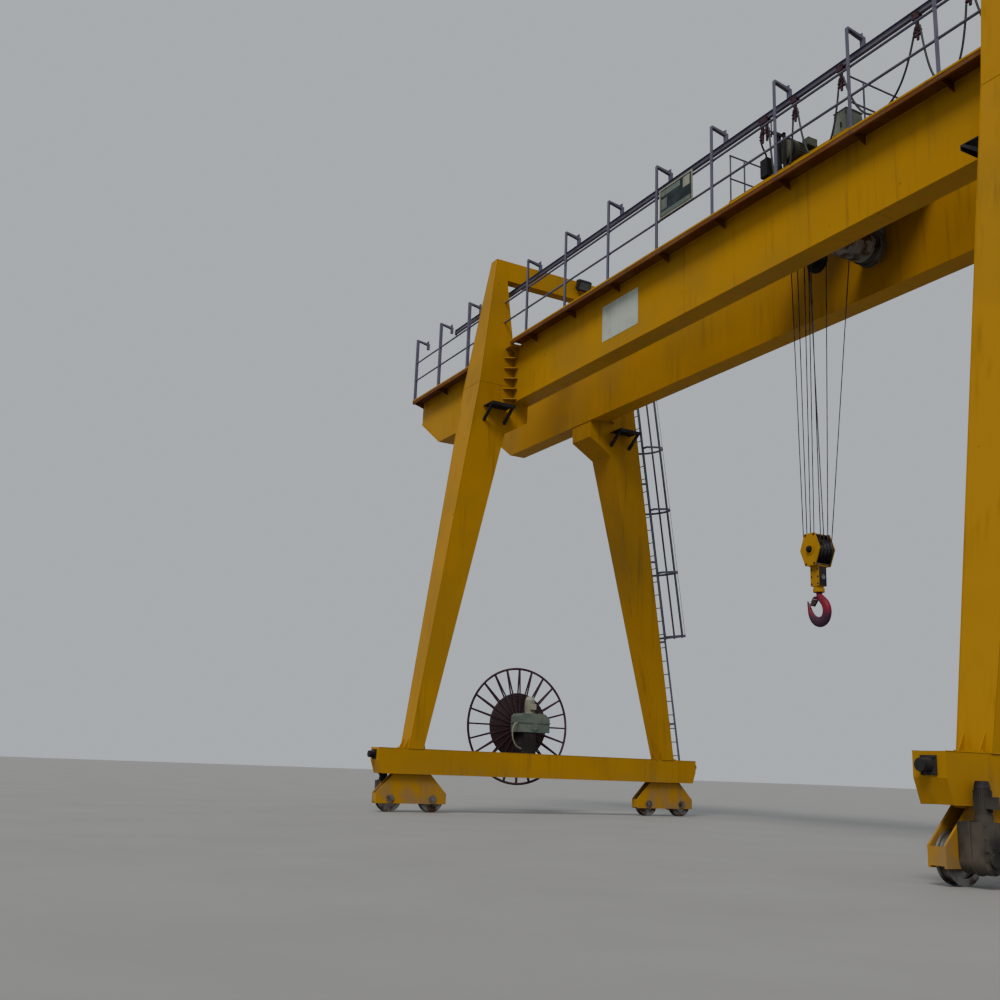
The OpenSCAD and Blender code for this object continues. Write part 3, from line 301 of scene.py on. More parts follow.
    def fins(self, foot: Point, axis: Point, inner: float, outer: float, long: float, count: int) -> Solid:
        """Adds cooling fins round a motor.

        Args:
            foot: Start of the fins on the motor's axis.
            axis: Direction of the axis.
            inner: Radius where the fins start, inside the motor.
            outer: Radius that they reach.
            long: Length of the fins.
            count: Number of fins.

        Returns:
            This solid.
        """
        frame, half = facing(foot, axis), 0.0018
        for i in range(count):
            turn = frame @ Matrix.Rotation(math.tau * i / count, 4, "Z")
            corners = [turn @ Vector((r, w, h)) for h in (0, long)
                       for r, w in ((inner, -half), (outer, -half), (outer, half), (inner, half))]
            self.add(corners, [(3, 2, 1, 0), (4, 5, 6, 7), (0, 1, 5, 4), (1, 2, 6, 5), (2, 3, 7, 6), (3, 0, 4, 7)])
        return self

    def grille(self, centre: Point, axis: Point, radii: Sequence[float], wide: float) -> Solid:
        """Adds the raised rings of a motor's fan cowl.

        Args:
            centre: Middle of the rings on the cowl's face.
            axis: Direction that they stand out in.
            radii: Outer radius of each ring.
            wide: Width of a ring.

        Returns:
            This solid.
        """
        for r in radii:
            self.ring(centre, axis, r - wide, r, 0.003, 24)
        return self

    def eye(self, centre: Point, r: float, thick: float, steps: int, sides: int) -> Solid:
        """Adds a lifting eye, bent from a rod, that faces along Y.

        Args:
            centre: Middle of the eye.
            r: Radius of the bend.
            thick: Radius of the rod.
            steps: Number of pieces that the bend is cut into.
            sides: Number of corners round the rod.

        Returns:
            This solid.
        """
        x, y, z = centre
        angles = (math.tau * i / steps - 1.5 for i in range(steps + 1))
        return self.tube([(x + r * math.cos(a), y, z + r * math.sin(a)) for a in angles], thick, sides)

    def mesh(self, name: str, smooth: float) -> bpy.types.Mesh:
        """Makes a mesh whose faces point outwards.

        Args:
            name: Name of the mesh.
            smooth: Edges sharper than this many degrees stay sharp.

        Returns:
            The mesh.
        """
        made = bpy.data.meshes.new(name)
        made.from_pydata([tuple(p) for p in self.points], [], self.faces)
        made.validate()
        made.polygons.foreach_set("use_smooth", [True] * len(made.polygons))
        made.set_sharp_from_angle(angle=math.radians(smooth))
        made.update()
        return made


def circle(r: float, sides: int) -> list[Pair]:
    """Corners of a regular outline of radius r."""
    return [(r * math.cos(a), r * math.sin(a)) for a in (math.tau * i / sides for i in range(sides))]


def along(a: float, b: float, t: float) -> float:
    """Value at share t of the way from a to b."""
    return a + (b - a) * t


def spread(first: float, last: float, step: float) -> list[float]:
    """Evenly spaced values from first to last, with gaps near step."""
    count = max(1, round(abs(last - first) / step))
    return [along(first, last, i / count) for i in range(count + 1)]


def facing(place: Point, axis: Point) -> Matrix:
    """Frame at a place whose Z axis points along axis."""
    return Matrix.Translation(Vector(place)) @ Vector(axis).to_track_quat("Z", "Y").to_matrix().to_4x4()


def hanging(a: float, b: float, y: float, z: float, length: float, count: int = 44) -> list[Point]:
    """Points of a cable of a given length that hangs between two places at one height.

    Args:
        a: Place of the left end along X.
        b: Place of the right end along X.
        y: Place along Y.
        z: Height of both ends.
        length: Length of the cable.
        count: Number of pieces that the line is cut into.

    Returns:
        Points from left to right, evenly spaced along the cable.
    """
    low, high = 0.01, 12.0
    for _ in range(60):
        k = (low + high) / 2
        low, high = (k, high) if math.sinh(k) / k < length / (b - a) else (low, k)
    k = (low + high) / 2
    c = (b - a) / 2 / k
    shares = [math.asinh(length * (i / count - 0.5) / c) for i in range(count + 1)]
    return [((a + b) / 2 + c * t, y, z - c * (math.cosh(k) - math.cosh(t))) for t in shares]


def bend(corners: Sequence[Point], count: int = 40) -> list[Point]:
    """Smooth line through a few points, each passed in turn.

    Args:
        corners: Points that the line goes through.
        count: Number of pieces that the line is cut into.

    Returns:
        Points along the line.
    """
    p = [Vector(c) for c in (corners[0], *corners, corners[-1])]
    spans = len(corners) - 1
    line = []
    for i in range(count + 1):
        at = min(i * spans / count, spans - 1e-9)
        k, t = int(at), at - int(at)
        a, b, c, d = p[k], p[k + 1], p[k + 2], p[k + 3]
        line.append(tuple(0.5 * (2 * b + (c - a) * t + (2 * a - 5 * b + 4 * c - d) * t * t
                                 + (3 * b - a - 3 * c + d) * t ** 3)))
    return line


# Materials


class Val:
    """A number in a shader tree that is added, multiplied and compared like any other."""

    def __init__(self, tree: bpy.types.NodeTree, source: bpy.types.NodeSocket | float) -> None:
        """Holds the socket, or the plain number, that the value comes from."""
        self.tree = tree
        self.source = source

    def _math(self, kind: str, *others: Val | float) -> Val:
        """Adds a Math node.

        Args:
            kind: The node's operation.
            others: The values after this one.

        Returns:
            The node's result.
        """
        node = self.tree.nodes.new("ShaderNodeMath")
        node.operation = kind
        for socket, value in zip(node.inputs, (self, *others)):
            feed(self.tree, socket, value)
        return Val(self.tree, node.outputs[0])

    def __add__(self, other: Val | float) -> Val:
        """Sum."""
        return self._math("ADD", other)

    def __rsub__(self, other: float) -> Val:
        """A plain number less the value."""
        return Val(self.tree, other)._math("SUBTRACT", self)

    def __mul__(self, other: Val | float) -> Val:
        """Product."""
        return self._math("MULTIPLY", other)

    __radd__ = __add__
    __rmul__ = __mul__

    def most(self, other: Val | float) -> Val:
        """The larger of two values."""
        return self._math("MAXIMUM", other)

    def smooth(self, low: float, high: float) -> Val:
        """Rises smoothly from 0 to 1.

        Args:
            low: Value up to which the result is 0.
            high: Value from which the result is 1.

        Returns:
            The result.
        """
        node = self.tree.nodes.new("ShaderNodeMapRange")
        node.interpolation_type = "SMOOTHSTEP"
        feed(self.tree, node.inputs["Value"], self)
        node.inputs["From Min"].default_value, node.inputs["From Max"].default_value = low, high
        return Val(self.tree, node.outputs["Result"])


def feed(tree: bpy.types.NodeTree, socket: bpy.types.NodeSocket, value: Val | float) -> None:
    """Links a value to a socket, or sets the socket to a plain number.

    Args:
        tree: The node tree that the socket is in.
        socket: The socket.
        value: The value.
    """
    source = value.source if isinstance(value, Val) else value
    if isinstance(source, bpy.types.NodeSocket):
        tree.links.new(source, socket)
    else:
        socket.default_value = source


class Shader:
    """A material that is built up from noises on the piece's own place in the crane."""

    def __init__(self, name: str) -> None:
        """Starts the material with its shader and its coordinates."""
        self.material = bpy.data.materials.new(name)
        self.material.use_nodes = True
        self.tree = self.material.node_tree
        self.base = self.tree.nodes["Principled BSDF"]
        self.place = self.tree.nodes.new("ShaderNodeTexCoord").outputs["Object"]

    def stretched(self, stretch: Point) -> bpy.types.NodeSocket:
        """Scales the coordinates.

        Args:
            stretch: Factor along each axis.

        Returns:
            The scaled coordinates.
        """
        node = self.tree.nodes.new("ShaderNodeMapping")
        node.inputs["Scale"].default_value = stretch
        self.tree.links.new(self.place, node.inputs["Vector"])
        return node.outputs["Vector"]

    def noise(self, scale: float, detail: float = 3.0, stretch: Point = (1, 1, 1)) -> Val:
        """Cloudy noise from 0 to 1.

        Args:
            scale: Number of clouds in a metre.
            detail: Number of finer layers.
            stretch: How much closer the clouds lie along each axis.

        Returns:
            The noise.
        """
        node = self.tree.nodes.new("ShaderNodeTexNoise")
        node.inputs["Scale"].default_value = scale
        node.inputs["Detail"].default_value = detail
        self.tree.links.new(self.stretched(stretch), node.inputs["Vector"])
        return Val(self.tree, node.outputs["Fac"])

    def cells(self, scale: float) -> Val:
        """Distance to the nearest of many scattered points.

        Args:
            scale: Number of points in a metre.

        Returns:
            The distance.
        """
        node = self.tree.nodes.new("ShaderNodeTexVoronoi")
        node.inputs["Scale"].default_value = scale
        self.tree.links.new(self.stretched((1, 1, 1)), node.inputs["Vector"])
        return Val(self.tree, node.outputs["Distance"])

    def height(self) -> Val:
        """Height above the ground in metres."""
        return self.upright(self.place)

    def upward(self) -> Val:
        """How much a face looks up, from -1 to 1."""
        return self.upright(self.tree.nodes.new("ShaderNodeNewGeometry").outputs["Normal"])

    def upright(self, source: bpy.types.NodeSocket) -> Val:
        """Share of a vector that points up."""
        split = self.tree.nodes.new("ShaderNodeSeparateXYZ")
        self.tree.links.new(source, split.inputs[0])
        return Val(self.tree, split.outputs[2])

    def mix(self, amount: Val, a: bpy.types.NodeSocket | Point, b: Point) -> bpy.types.NodeSocket:
        """Mixes two colours.

        Args:
            amount: Share of the second colour.
            a: First colour.
            b: Second colour.

        Returns:
            The mixed colour.
        """
        node = self.tree.nodes.new("ShaderNodeMix")
        node.data_type = "RGBA"
        feed(self.tree, node.inputs["Factor"], amount)
        for socket, colour in ((node.inputs["A"], a), (node.inputs["B"], b)):
            if isinstance(colour, bpy.types.NodeSocket):
                self.tree.links.new(colour, socket)
            else:
                socket.default_value = (*colour, 1.0)
        return node.outputs["Result"]

    def finish(self, colour: bpy.types.NodeSocket, rough: Val, relief: Val, depth: float) -> None:
        """Sets colour, roughness and bump.

        Args:
            colour: The base colour.
            rough: The roughness.
            relief: Height of the surface's fine relief, from 0 to 1.
            depth: Depth of that relief in metres.
        """
        self.tree.links.new(colour, self.base.inputs["Base Color"])
        feed(self.tree, self.base.inputs["Roughness"], rough)
        bump = self.tree.nodes.new("ShaderNodeBump")
        bump.inputs["Distance"].default_value = depth
        bump.inputs["Strength"].default_value = 0.6
        feed(self.tree, bump.inputs["Height"], relief)
        self.tree.links.new(bump.outputs["Normal"], self.base.inputs["Normal"])


@dataclass(frozen=True)
class Finish:
    """Look of a surface, as a material that is built up from nodes."""

    def make(self, name: str) -> bpy.types.Material:
        """Builds the material.

        Args:
            name: Name of the material.

        Returns:
            The material.
        """
        shader = Shader(name)
        self.dress(shader)
        return shader.material

    def dress(self, s: Shader) -> None:
        """Adds the nodes of the look to a new material."""
        raise NotImplementedError


@dataclass(frozen=True)
class Paint(Finish):
    """Weathered paint on steel plate: faded patches, rain streaks, dust and rust.

    Attributes:
        colour: Colour of clean paint.
        faded: Colour of the faded patches.
        grime: Colour of streaks and dirt.
        streaks: How strong the rain streaks are, from 0 to 1.
        rust: Share of the surface that has rusted, from 0 to 1.
        rough: Roughness of clean paint.
        metal: Metallic share.
        patch: Number of faded patches in a metre.
        oxide: Colour of rust.
        shine: Strength of the paint's reflection.
        low_tint: Colour that the low parts have worn to, or none.
        low_span: Heights in metres between which that wear fades out.
        dirt: Colour of dust that lies on top and of splashes from the ground.
    """

    colour: Point
    faded: Point
    grime: Point = (0.05, 0.035, 0.02)
    streaks: float = 0.5
    rust: float = 0.2
    rough: float = 0.45
    metal: float = 0.0
    patch: float = 0.7
    oxide: Point = (0.10, 0.03, 0.010)
    shine: float = 0.18
    low_tint: Point | None = None
    low_span: Pair = (0.0, 1.0)
    dirt: Point = (0.17, 0.14, 0.10)

    def dress(self, s: Shader) -> None:
        """Adds the nodes of the look to a new material.

        Args:
            s: The new material.
        """
        colour = s.mix(s.noise(self.patch, 5.0).smooth(0.42, 0.68), self.colour, self.faded)
        if self.low_tint:
            wear = 1.0 - (s.height() + 0.08 * s.noise(9.0, 3.0)).smooth(*self.low_span)
            colour = s.mix(wear, colour, self.low_tint)
        fine = s.noise(38.0, 2.0)
        runs = s.noise(1.0, 4.0, (9.0, 9.0, 0.45)).smooth(0.5, 0.78) * self.streaks
        colour = s.mix(runs * s.noise(0.9, 2.0).smooth(0.35, 0.6), colour, self.grime)
        specks = s.noise(7.0, 6.0).smooth(0.74 - 0.2 * self.rust, 0.8 - 0.2 * self.rust)
        blooms = s.noise(1.7, 7.0).smooth(0.72 - 0.18 * self.rust, 0.84 - 0.18 * self.rust)
        rusted = specks.most(blooms * fine.smooth(0.3, 0.6))
        colour = s.mix((0.25 + 0.75 * self.rust) * rusted, colour, self.oxide)
        dust = 0.55 * s.upward().smooth(0.6, 0.95) * s.noise(5.0, 4.0).smooth(0.3, 0.7)
        splash = 0.6 * (1.0 - s.height().smooth(0.05, 1.1)) * s.noise(3.0, 4.0).smooth(0.3, 0.65)
        colour = s.mix(dust.most(splash), colour, self.dirt)
        s.base.inputs["Metallic"].default_value = self.metal
        s.base.inputs["Specular IOR Level"].default_value = self.shine
        rough = self.rough + (0.9 - self.rough) * rusted.most(dust)
        s.finish(colour, rough + 0.08 * fine, rusted * fine + 0.15 * fine, 0.0015)


@dataclass(frozen=True)
class WornSteel(Finish):
    """Bare or oiled steel with brown patches and a fine grain."""

    colour: Point
    stain: Point
    rough: float = 0.4
    metal: float = 0.85

    def dress(self, s: Shader) -> None:
        """Adds the nodes of the look to a new material.

        Args:
            s: The new material.
        """
        stain = s.noise(6.0, 6.0).smooth(0.42, 0.62)
        colour = s.mix(stain, self.colour, self.stain)
        grain = s.noise(60.0, 3.0)
        s.base.inputs["Metallic"].default_value = self.metal
        s.finish(colour, self.rough + 0.35 * stain, grain, 0.0008)


@dataclass(frozen=True)
class Sheath(Finish):
    """Dull rubber sheath with dust on it."""

    colour: Point
    dust: Point

    def dress(self, s: Shader) -> None:
        """Adds the nodes of the look to a new material.

        Args:
            s: The new material.
        """
        dusty = 0.5 * s.upward().smooth(-0.2, 0.9) * s.noise(11.0, 4.0).smooth(0.35, 0.7)
        s.finish(s.mix(dusty, self.colour, self.dust), 0.55 + 0.3 * dusty, s.noise(90.0, 2.0), 0.0006)


@dataclass(frozen=True)
class Glass(Finish):
    """Dark, dusty lamp glass."""

    colour: Point = (0.075, 0.080, 0.088)
    dust: Point = (0.11, 0.105, 0.095)

    def dress(self, s: Shader) -> None:
        """Adds the nodes of the look to a new material.

        Args:
            s: The new material.
        """
        dirty = s.noise(14.0, 4.0).smooth(0.4, 0.7)
        s.base.inputs["Coat Weight"].default_value = 0.6
        s.finish(s.mix(dirty, self.colour, self.dust), 0.12 + 0.4 * dirty, s.cells(120.0), 0.0004)


FINISHES: dict[Slot, Finish] = {
    Slot.YELLOW: Paint((0.405, 0.200, 0.004), (0.345, 0.180, 0.010), streaks=0.35, rust=0.16, rough=0.5, shine=0.12),
    Slot.RAIL: Paint((0.105, 0.100, 0.145), (0.13, 0.125, 0.160), rust=0.25, rough=0.6, patch=2.0),
    Slot.BROWN: Paint((0.135, 0.047, 0.009), (0.17, 0.070, 0.018), rust=0.4, rough=0.7, patch=1.6),
    Slot.DARK: Paint((0.016, 0.015, 0.016), (0.035, 0.032, 0.031), rust=0.12, rough=0.55, patch=3.0),
    Slot.TEAL: Paint((0.100, 0.128, 0.110), (0.14, 0.165, 0.135), rust=0.15, rough=0.5, patch=2.2),
    Slot.RUST: Paint((0.056, 0.024, 0.034), (0.080, 0.042, 0.052), rust=0.3, rough=0.72, patch=2.5),
    Slot.RED: Paint((0.21, 0.010, 0.030), (0.13, 0.014, 0.032), streaks=0.3, rust=0.3, rough=0.42, patch=4.0),
    Slot.BEIGE: Paint((0.28, 0.28, 0.215), (0.22, 0.22, 0.165), rust=0.12, rough=0.5, patch=3.0),
    Slot.GREEN: Paint((0.062, 0.068, 0.045), (0.095, 0.10, 0.07), rust=0.1, rough=0.5, patch=3.0),
    Slot.STEEL: WornSteel((0.22, 0.21, 0.20), (0.09, 0.05, 0.03)),
    Slot.CABLE: Sheath((0.012, 0.012, 0.014), (0.07, 0.065, 0.06)),
    Slot.ROPE: WornSteel((0.10, 0.095, 0.09), (0.04, 0.03, 0.022), 0.5, 0.7),
}
PLATE_FINISH = Paint((0.42, 0.46, 0.40), (0.36, 0.385, 0.325), grime=(0.2, 0.15, 0.09), streaks=0.6,
                     rust=0.2, rough=0.5, patch=2.0)
CABINET_FINISH = Paint((0.135, 0.155, 0.135), (0.165, 0.185, 0.155), rust=0.12, rough=0.5, patch=2.2)
# Lighter olive of the hoist motor's end cap and grille: painted light for the lit end face.
LIT_OLIVE_FINISH = Paint((0.145, 0.145, 0.100), (0.115, 0.115, 0.080), rust=0.1, rough=0.5, patch=6.0)
OILED_FINISH = WornSteel((0.030, 0.028, 0.034), (0.018, 0.013, 0.012), 0.5, 0.5)
COIL_FINISH = Sheath((0.026, 0.011, 0.012), (0.055, 0.032, 0.034))
BOARD_FINISH = Paint((0.012, 0.018, 0.022), (0.03, 0.038, 0.04), streaks=0.3, rust=0.1, rough=0.45, patch=5.0)
HOOK_FINISH = replace(FINISHES[Slot.RED], low_tint=(0.050, 0.022, 0.040), low_span=(3.30, 3.52))


# Pieces


@dataclass(frozen=True)
class Place:
    """Where one repeated item stands, which way it points, and how large it is."""

    at: Point
    out: Point
    size: float


def ring_of(centre: Point, axis: Point, r: float, count: int, size: float, turn: float = 0.0) -> list[Place]:
    """Places of bolts on a circle round an axis.

    Args:
        centre: Middle of the circle.
        axis: Direction that the bolts point in.
        r: Radius of the circle.
        count: Number of bolts.
        size: Radius of a bolt's head.
        turn: Angle of the first bolt in degrees.

    Returns:
        The places.
    """
    frame = facing(centre, axis)
    angles = [math.tau * i / count + math.radians(turn) for i in range(count)]
    return [Place(tuple(frame @ Vector((r * math.cos(a), r * math.sin(a), 0))), axis, size) for a in angles]


def bolted_cover(s: Solid, at: Point, out: Point, r: float, deep: float, bolt_ring: float, bolt: float,
                 sides: int = 28, turn: float = 0.0) -> list[Place]:
    """Adds a round cover to a face, with six bolts near its rim.

    Args:
        s: The solid that the cover is added to.
        at: Middle of the cover on the face.
        out: Direction that it stands out in, of length 1.
        r: Radius of the cover.
        deep: How far it stands out.
        bolt_ring: Radius of the circle of bolts.
        bolt: Radius of a bolt's head.
        sides: Number of corners round the cover.
        turn: Angle of the first bolt in degrees.

    Returns:
        Places of the bolts.
    """
    end = tuple(a + o * deep for a, o in zip(at, out))
    s.rod(at, end, r, sides)
    return ring_of(end, out, bolt_ring, 6, bolt, turn)


def at_corners(places: Sequence[Place]) -> list[Place]:
    """Copies of places, mirrored to the crane's four corners."""
    return [Place((sx * p.at[0], sy * p.at[1], p.at[2]), (sx * p.out[0], sy * p.out[1], p.out[2]), p.size)
            for sx, sy in CORNERS for p in places]


def hex_bolt() -> Solid:
    """Makes a bolt head of radius 1 on a washer, with a stub of thread, pointing up.

    Returns:
        The bolt head.
    """
    s = Solid()
    s.lathe([(0, 0), (1.25, 0), (1.25, 0.18), (0, 0.18)], Matrix.Identity(4), 12)
    s.lathe([(1.0, 0.18), (1.0, 0.72), (0.85, 0.82), (0, 0.82)], Matrix.Identity(4), 6)
    return s.lathe([(0.5, 0.8), (0.5, 1.1), (0, 1.15)], Matrix.Identity(4), 8)


def round_head() -> Solid:
    """Low round rivet head of radius 1."""
    return Solid().lathe([(1.0, 0), (0.92, 0.3), (0.6, 0.55), (0, 0.66)], Matrix.Identity(4), 10)


def show(name: str, data: bpy.types.ID) -> bpy.types.Object:
    """Puts a mesh, a light or a camera into the scene.

    Args:
        name: Name of the object.
        data: The mesh, light or camera.

    Returns:
        The object.
    """
    made = bpy.data.objects.new(name, data)
    bpy.context.scene.collection.objects.link(made)
    return made


class Scatter:
    """Geometry Nodes tree that sets a small item out on points, each turned and sized."""

    def __init__(self) -> None:
        """Builds the tree with its named inputs."""
        tree = bpy.data.node_groups.new("set_out_items", "GeometryNodeTree")
        face = tree.interface
        face.new_socket("Places", in_out="INPUT", socket_type="NodeSocketGeometry")
        self.item = face.new_socket("Item", in_out="INPUT", socket_type="NodeSocketObject").identifier
        self.paint = face.new_socket("Finish", in_out="INPUT", socket_type="NodeSocketMaterial").identifier
        face.new_socket("Items", in_out="OUTPUT", socket_type="NodeSocketGeometry")
        new, link = tree.nodes.new, tree.links.new
        entry, leave = new("NodeGroupInput"), new("NodeGroupOutput")
        item, lay = new("GeometryNodeObjectInfo"), new("GeometryNodeInstanceOnPoints")
        turn, size = new("GeometryNodeInputNamedAttribute"), new("GeometryNodeInputNamedAttribute")
        turn.data_type, size.data_type = "FLOAT_VECTOR", "FLOAT"
        turn.inputs["Name"].default_value, size.inputs["Name"].default_value = "turn", "size"
        spin = new("FunctionNodeEulerToRotation")
        real, coat = new("GeometryNodeRealizeInstances"), new("GeometryNodeSetMaterial")
        link(entry.outputs["Item"], item.inputs["Object"])
        link(entry.outputs["Places"], lay.inputs["Points"])
        link(item.outputs["Geometry"], lay.inputs["Instance"])
        link(turn.outputs["Attribute"], spin.inputs[0])
        link(spin.outputs[0], lay.inputs["Rotation"])
        link(size.outputs["Attribute"], lay.inputs["Scale"])
        link(lay.outputs["Instances"], real.inputs[0])
        link(real.outputs[0], coat.inputs["Geometry"])
        link(entry.outputs["Finish"], coat.inputs["Material"])
        link(coat.outputs[0], leave.inputs[0])
        self.tree = tree

    def lay(self, name: str, item: bpy.types.Object, places: Sequence[Place],
            paint: bpy.types.Material) -> bpy.types.Mesh:
        """Sets the item out.

        Args:
            name: Name of the mesh.
            item: The item, which points up at its own origin.
            places: Where the items go.
            paint: Their finish.

        Returns:
            One mesh of all the items.
        """
        points = bpy.data.meshes.new(name)
        points.from_pydata([p.at for p in places], [], [])
        points.attributes.new("turn", "FLOAT_VECTOR", "POINT")
        points.attributes.new("size", "FLOAT", "POINT")
        turns, sizes = points.attributes["turn"], points.attributes["size"]
        for i, p in enumerate(places):
            turns.data[i].vector = Vector(p.out).to_track_quat("Z", "X").to_euler()
            sizes.data[i].value = p.size
        holder = show(name, points)
        setting = holder.modifiers.new("items", "NODES")
        setting.node_group = self.tree
        setting[self.item], setting[self.paint] = item, paint
        made = bpy.data.meshes.new_from_object(holder.evaluated_get(bpy.context.evaluated_depsgraph_get()))
        bpy.data.objects.remove(holder)
        bpy.data.meshes.remove(points)
        return made


class Workshop:
    """Makes pieces, gives them their finish and puts them on their bodies."""

    def __init__(self, frame: dict) -> None:
        """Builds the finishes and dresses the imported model's own nodes.
        """
        self.paints = {slot: FINISHES[slot].make(slot.value) for slot in Slot}
        self.items: dict[tuple[Body, Slot, str], list[Place]] = {}
        for part in frame["record"]["subparts"]:
            node = frame["nodes"][part["node"]]
            node.data.materials.clear()
            node.data.materials.append(self.paints[Slot(part["material_slot"])])
        frame["nodes"]["block_sheaves"].data.materials[0] = OILED_FINISH.make("oiled_steel")

    def piece(self, name: str, solid: Solid, body: Body, slot: Slot, smooth: float = 35.0,
              paint: bpy.types.Material | None = None, stands_for: Sequence[str] = ()) -> bpy.types.Object:
        """Makes one piece that rides on a body.

        Args:
            name: Name of the piece.
            solid: Its corners and faces.
            body: The body that it rides on.
            slot: The record's slot that its finish comes from.
            smooth: Edges sharper than this many degrees stay sharp.
            paint: Its finish, where that isn't the slot's own.
            stands_for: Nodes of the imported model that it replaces.

        Returns:
            The piece.
        """
        made = self.loose(name, solid, slot, smooth, paint)
        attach(made, body.value)
        if stands_for:
            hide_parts(*stands_for)
        return made

    def loose(self, name: str, solid: Solid, slot: Slot, smooth: float = 35.0,
              paint: bpy.types.Material | None = None) -> bpy.types.Object:
        """Makes one piece that doesn't ride on a body yet.

        Args:
            name: Name of the piece.
            solid: Its corners and faces.
            slot: The record's slot that its finish comes from.
            smooth: Edges sharper than this many degrees stay sharp.
            paint: Its finish, where that isn't the slot's own.

        Returns:
            The piece.
        """
        made = show(name, solid.mesh(name, smooth))
        made.data.materials.append(paint or self.paints[slot])
        LOG.info("%s: %d faces", name, len(made.data.polygons))
        return made

    def put(self, body: Body, places: Iterable[Place], slot: Slot = Slot.STEEL, item: str = "bolts") -> None:
        """Keeps places of a repeated item until lay_out makes them."""
        self.items.setdefault((body, slot, item), []).extend(places)

    def lay_out(self) -> None:
        """Makes every repeated item, as one mesh for each body and finish."""
        scatter = Scatter()
        stock = {kind: bpy.data.objects.new("stock_" + kind, shape.mesh("stock_" + kind, 30.0))
                 for kind, shape in (("bolts", hex_bolt()), ("rivets", round_head()))}
        for (body, slot, kind), places in self.items.items():
            name = f"{body.value}_{slot.value}_{kind}"
            made = show(name, scatter.lay(name, stock[kind], places, self.paints[slot]))
            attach(made, body.value)
            LOG.info("%s: %d items", name, len(places))
        for item in stock.values():
            bpy.data.objects.remove(item)


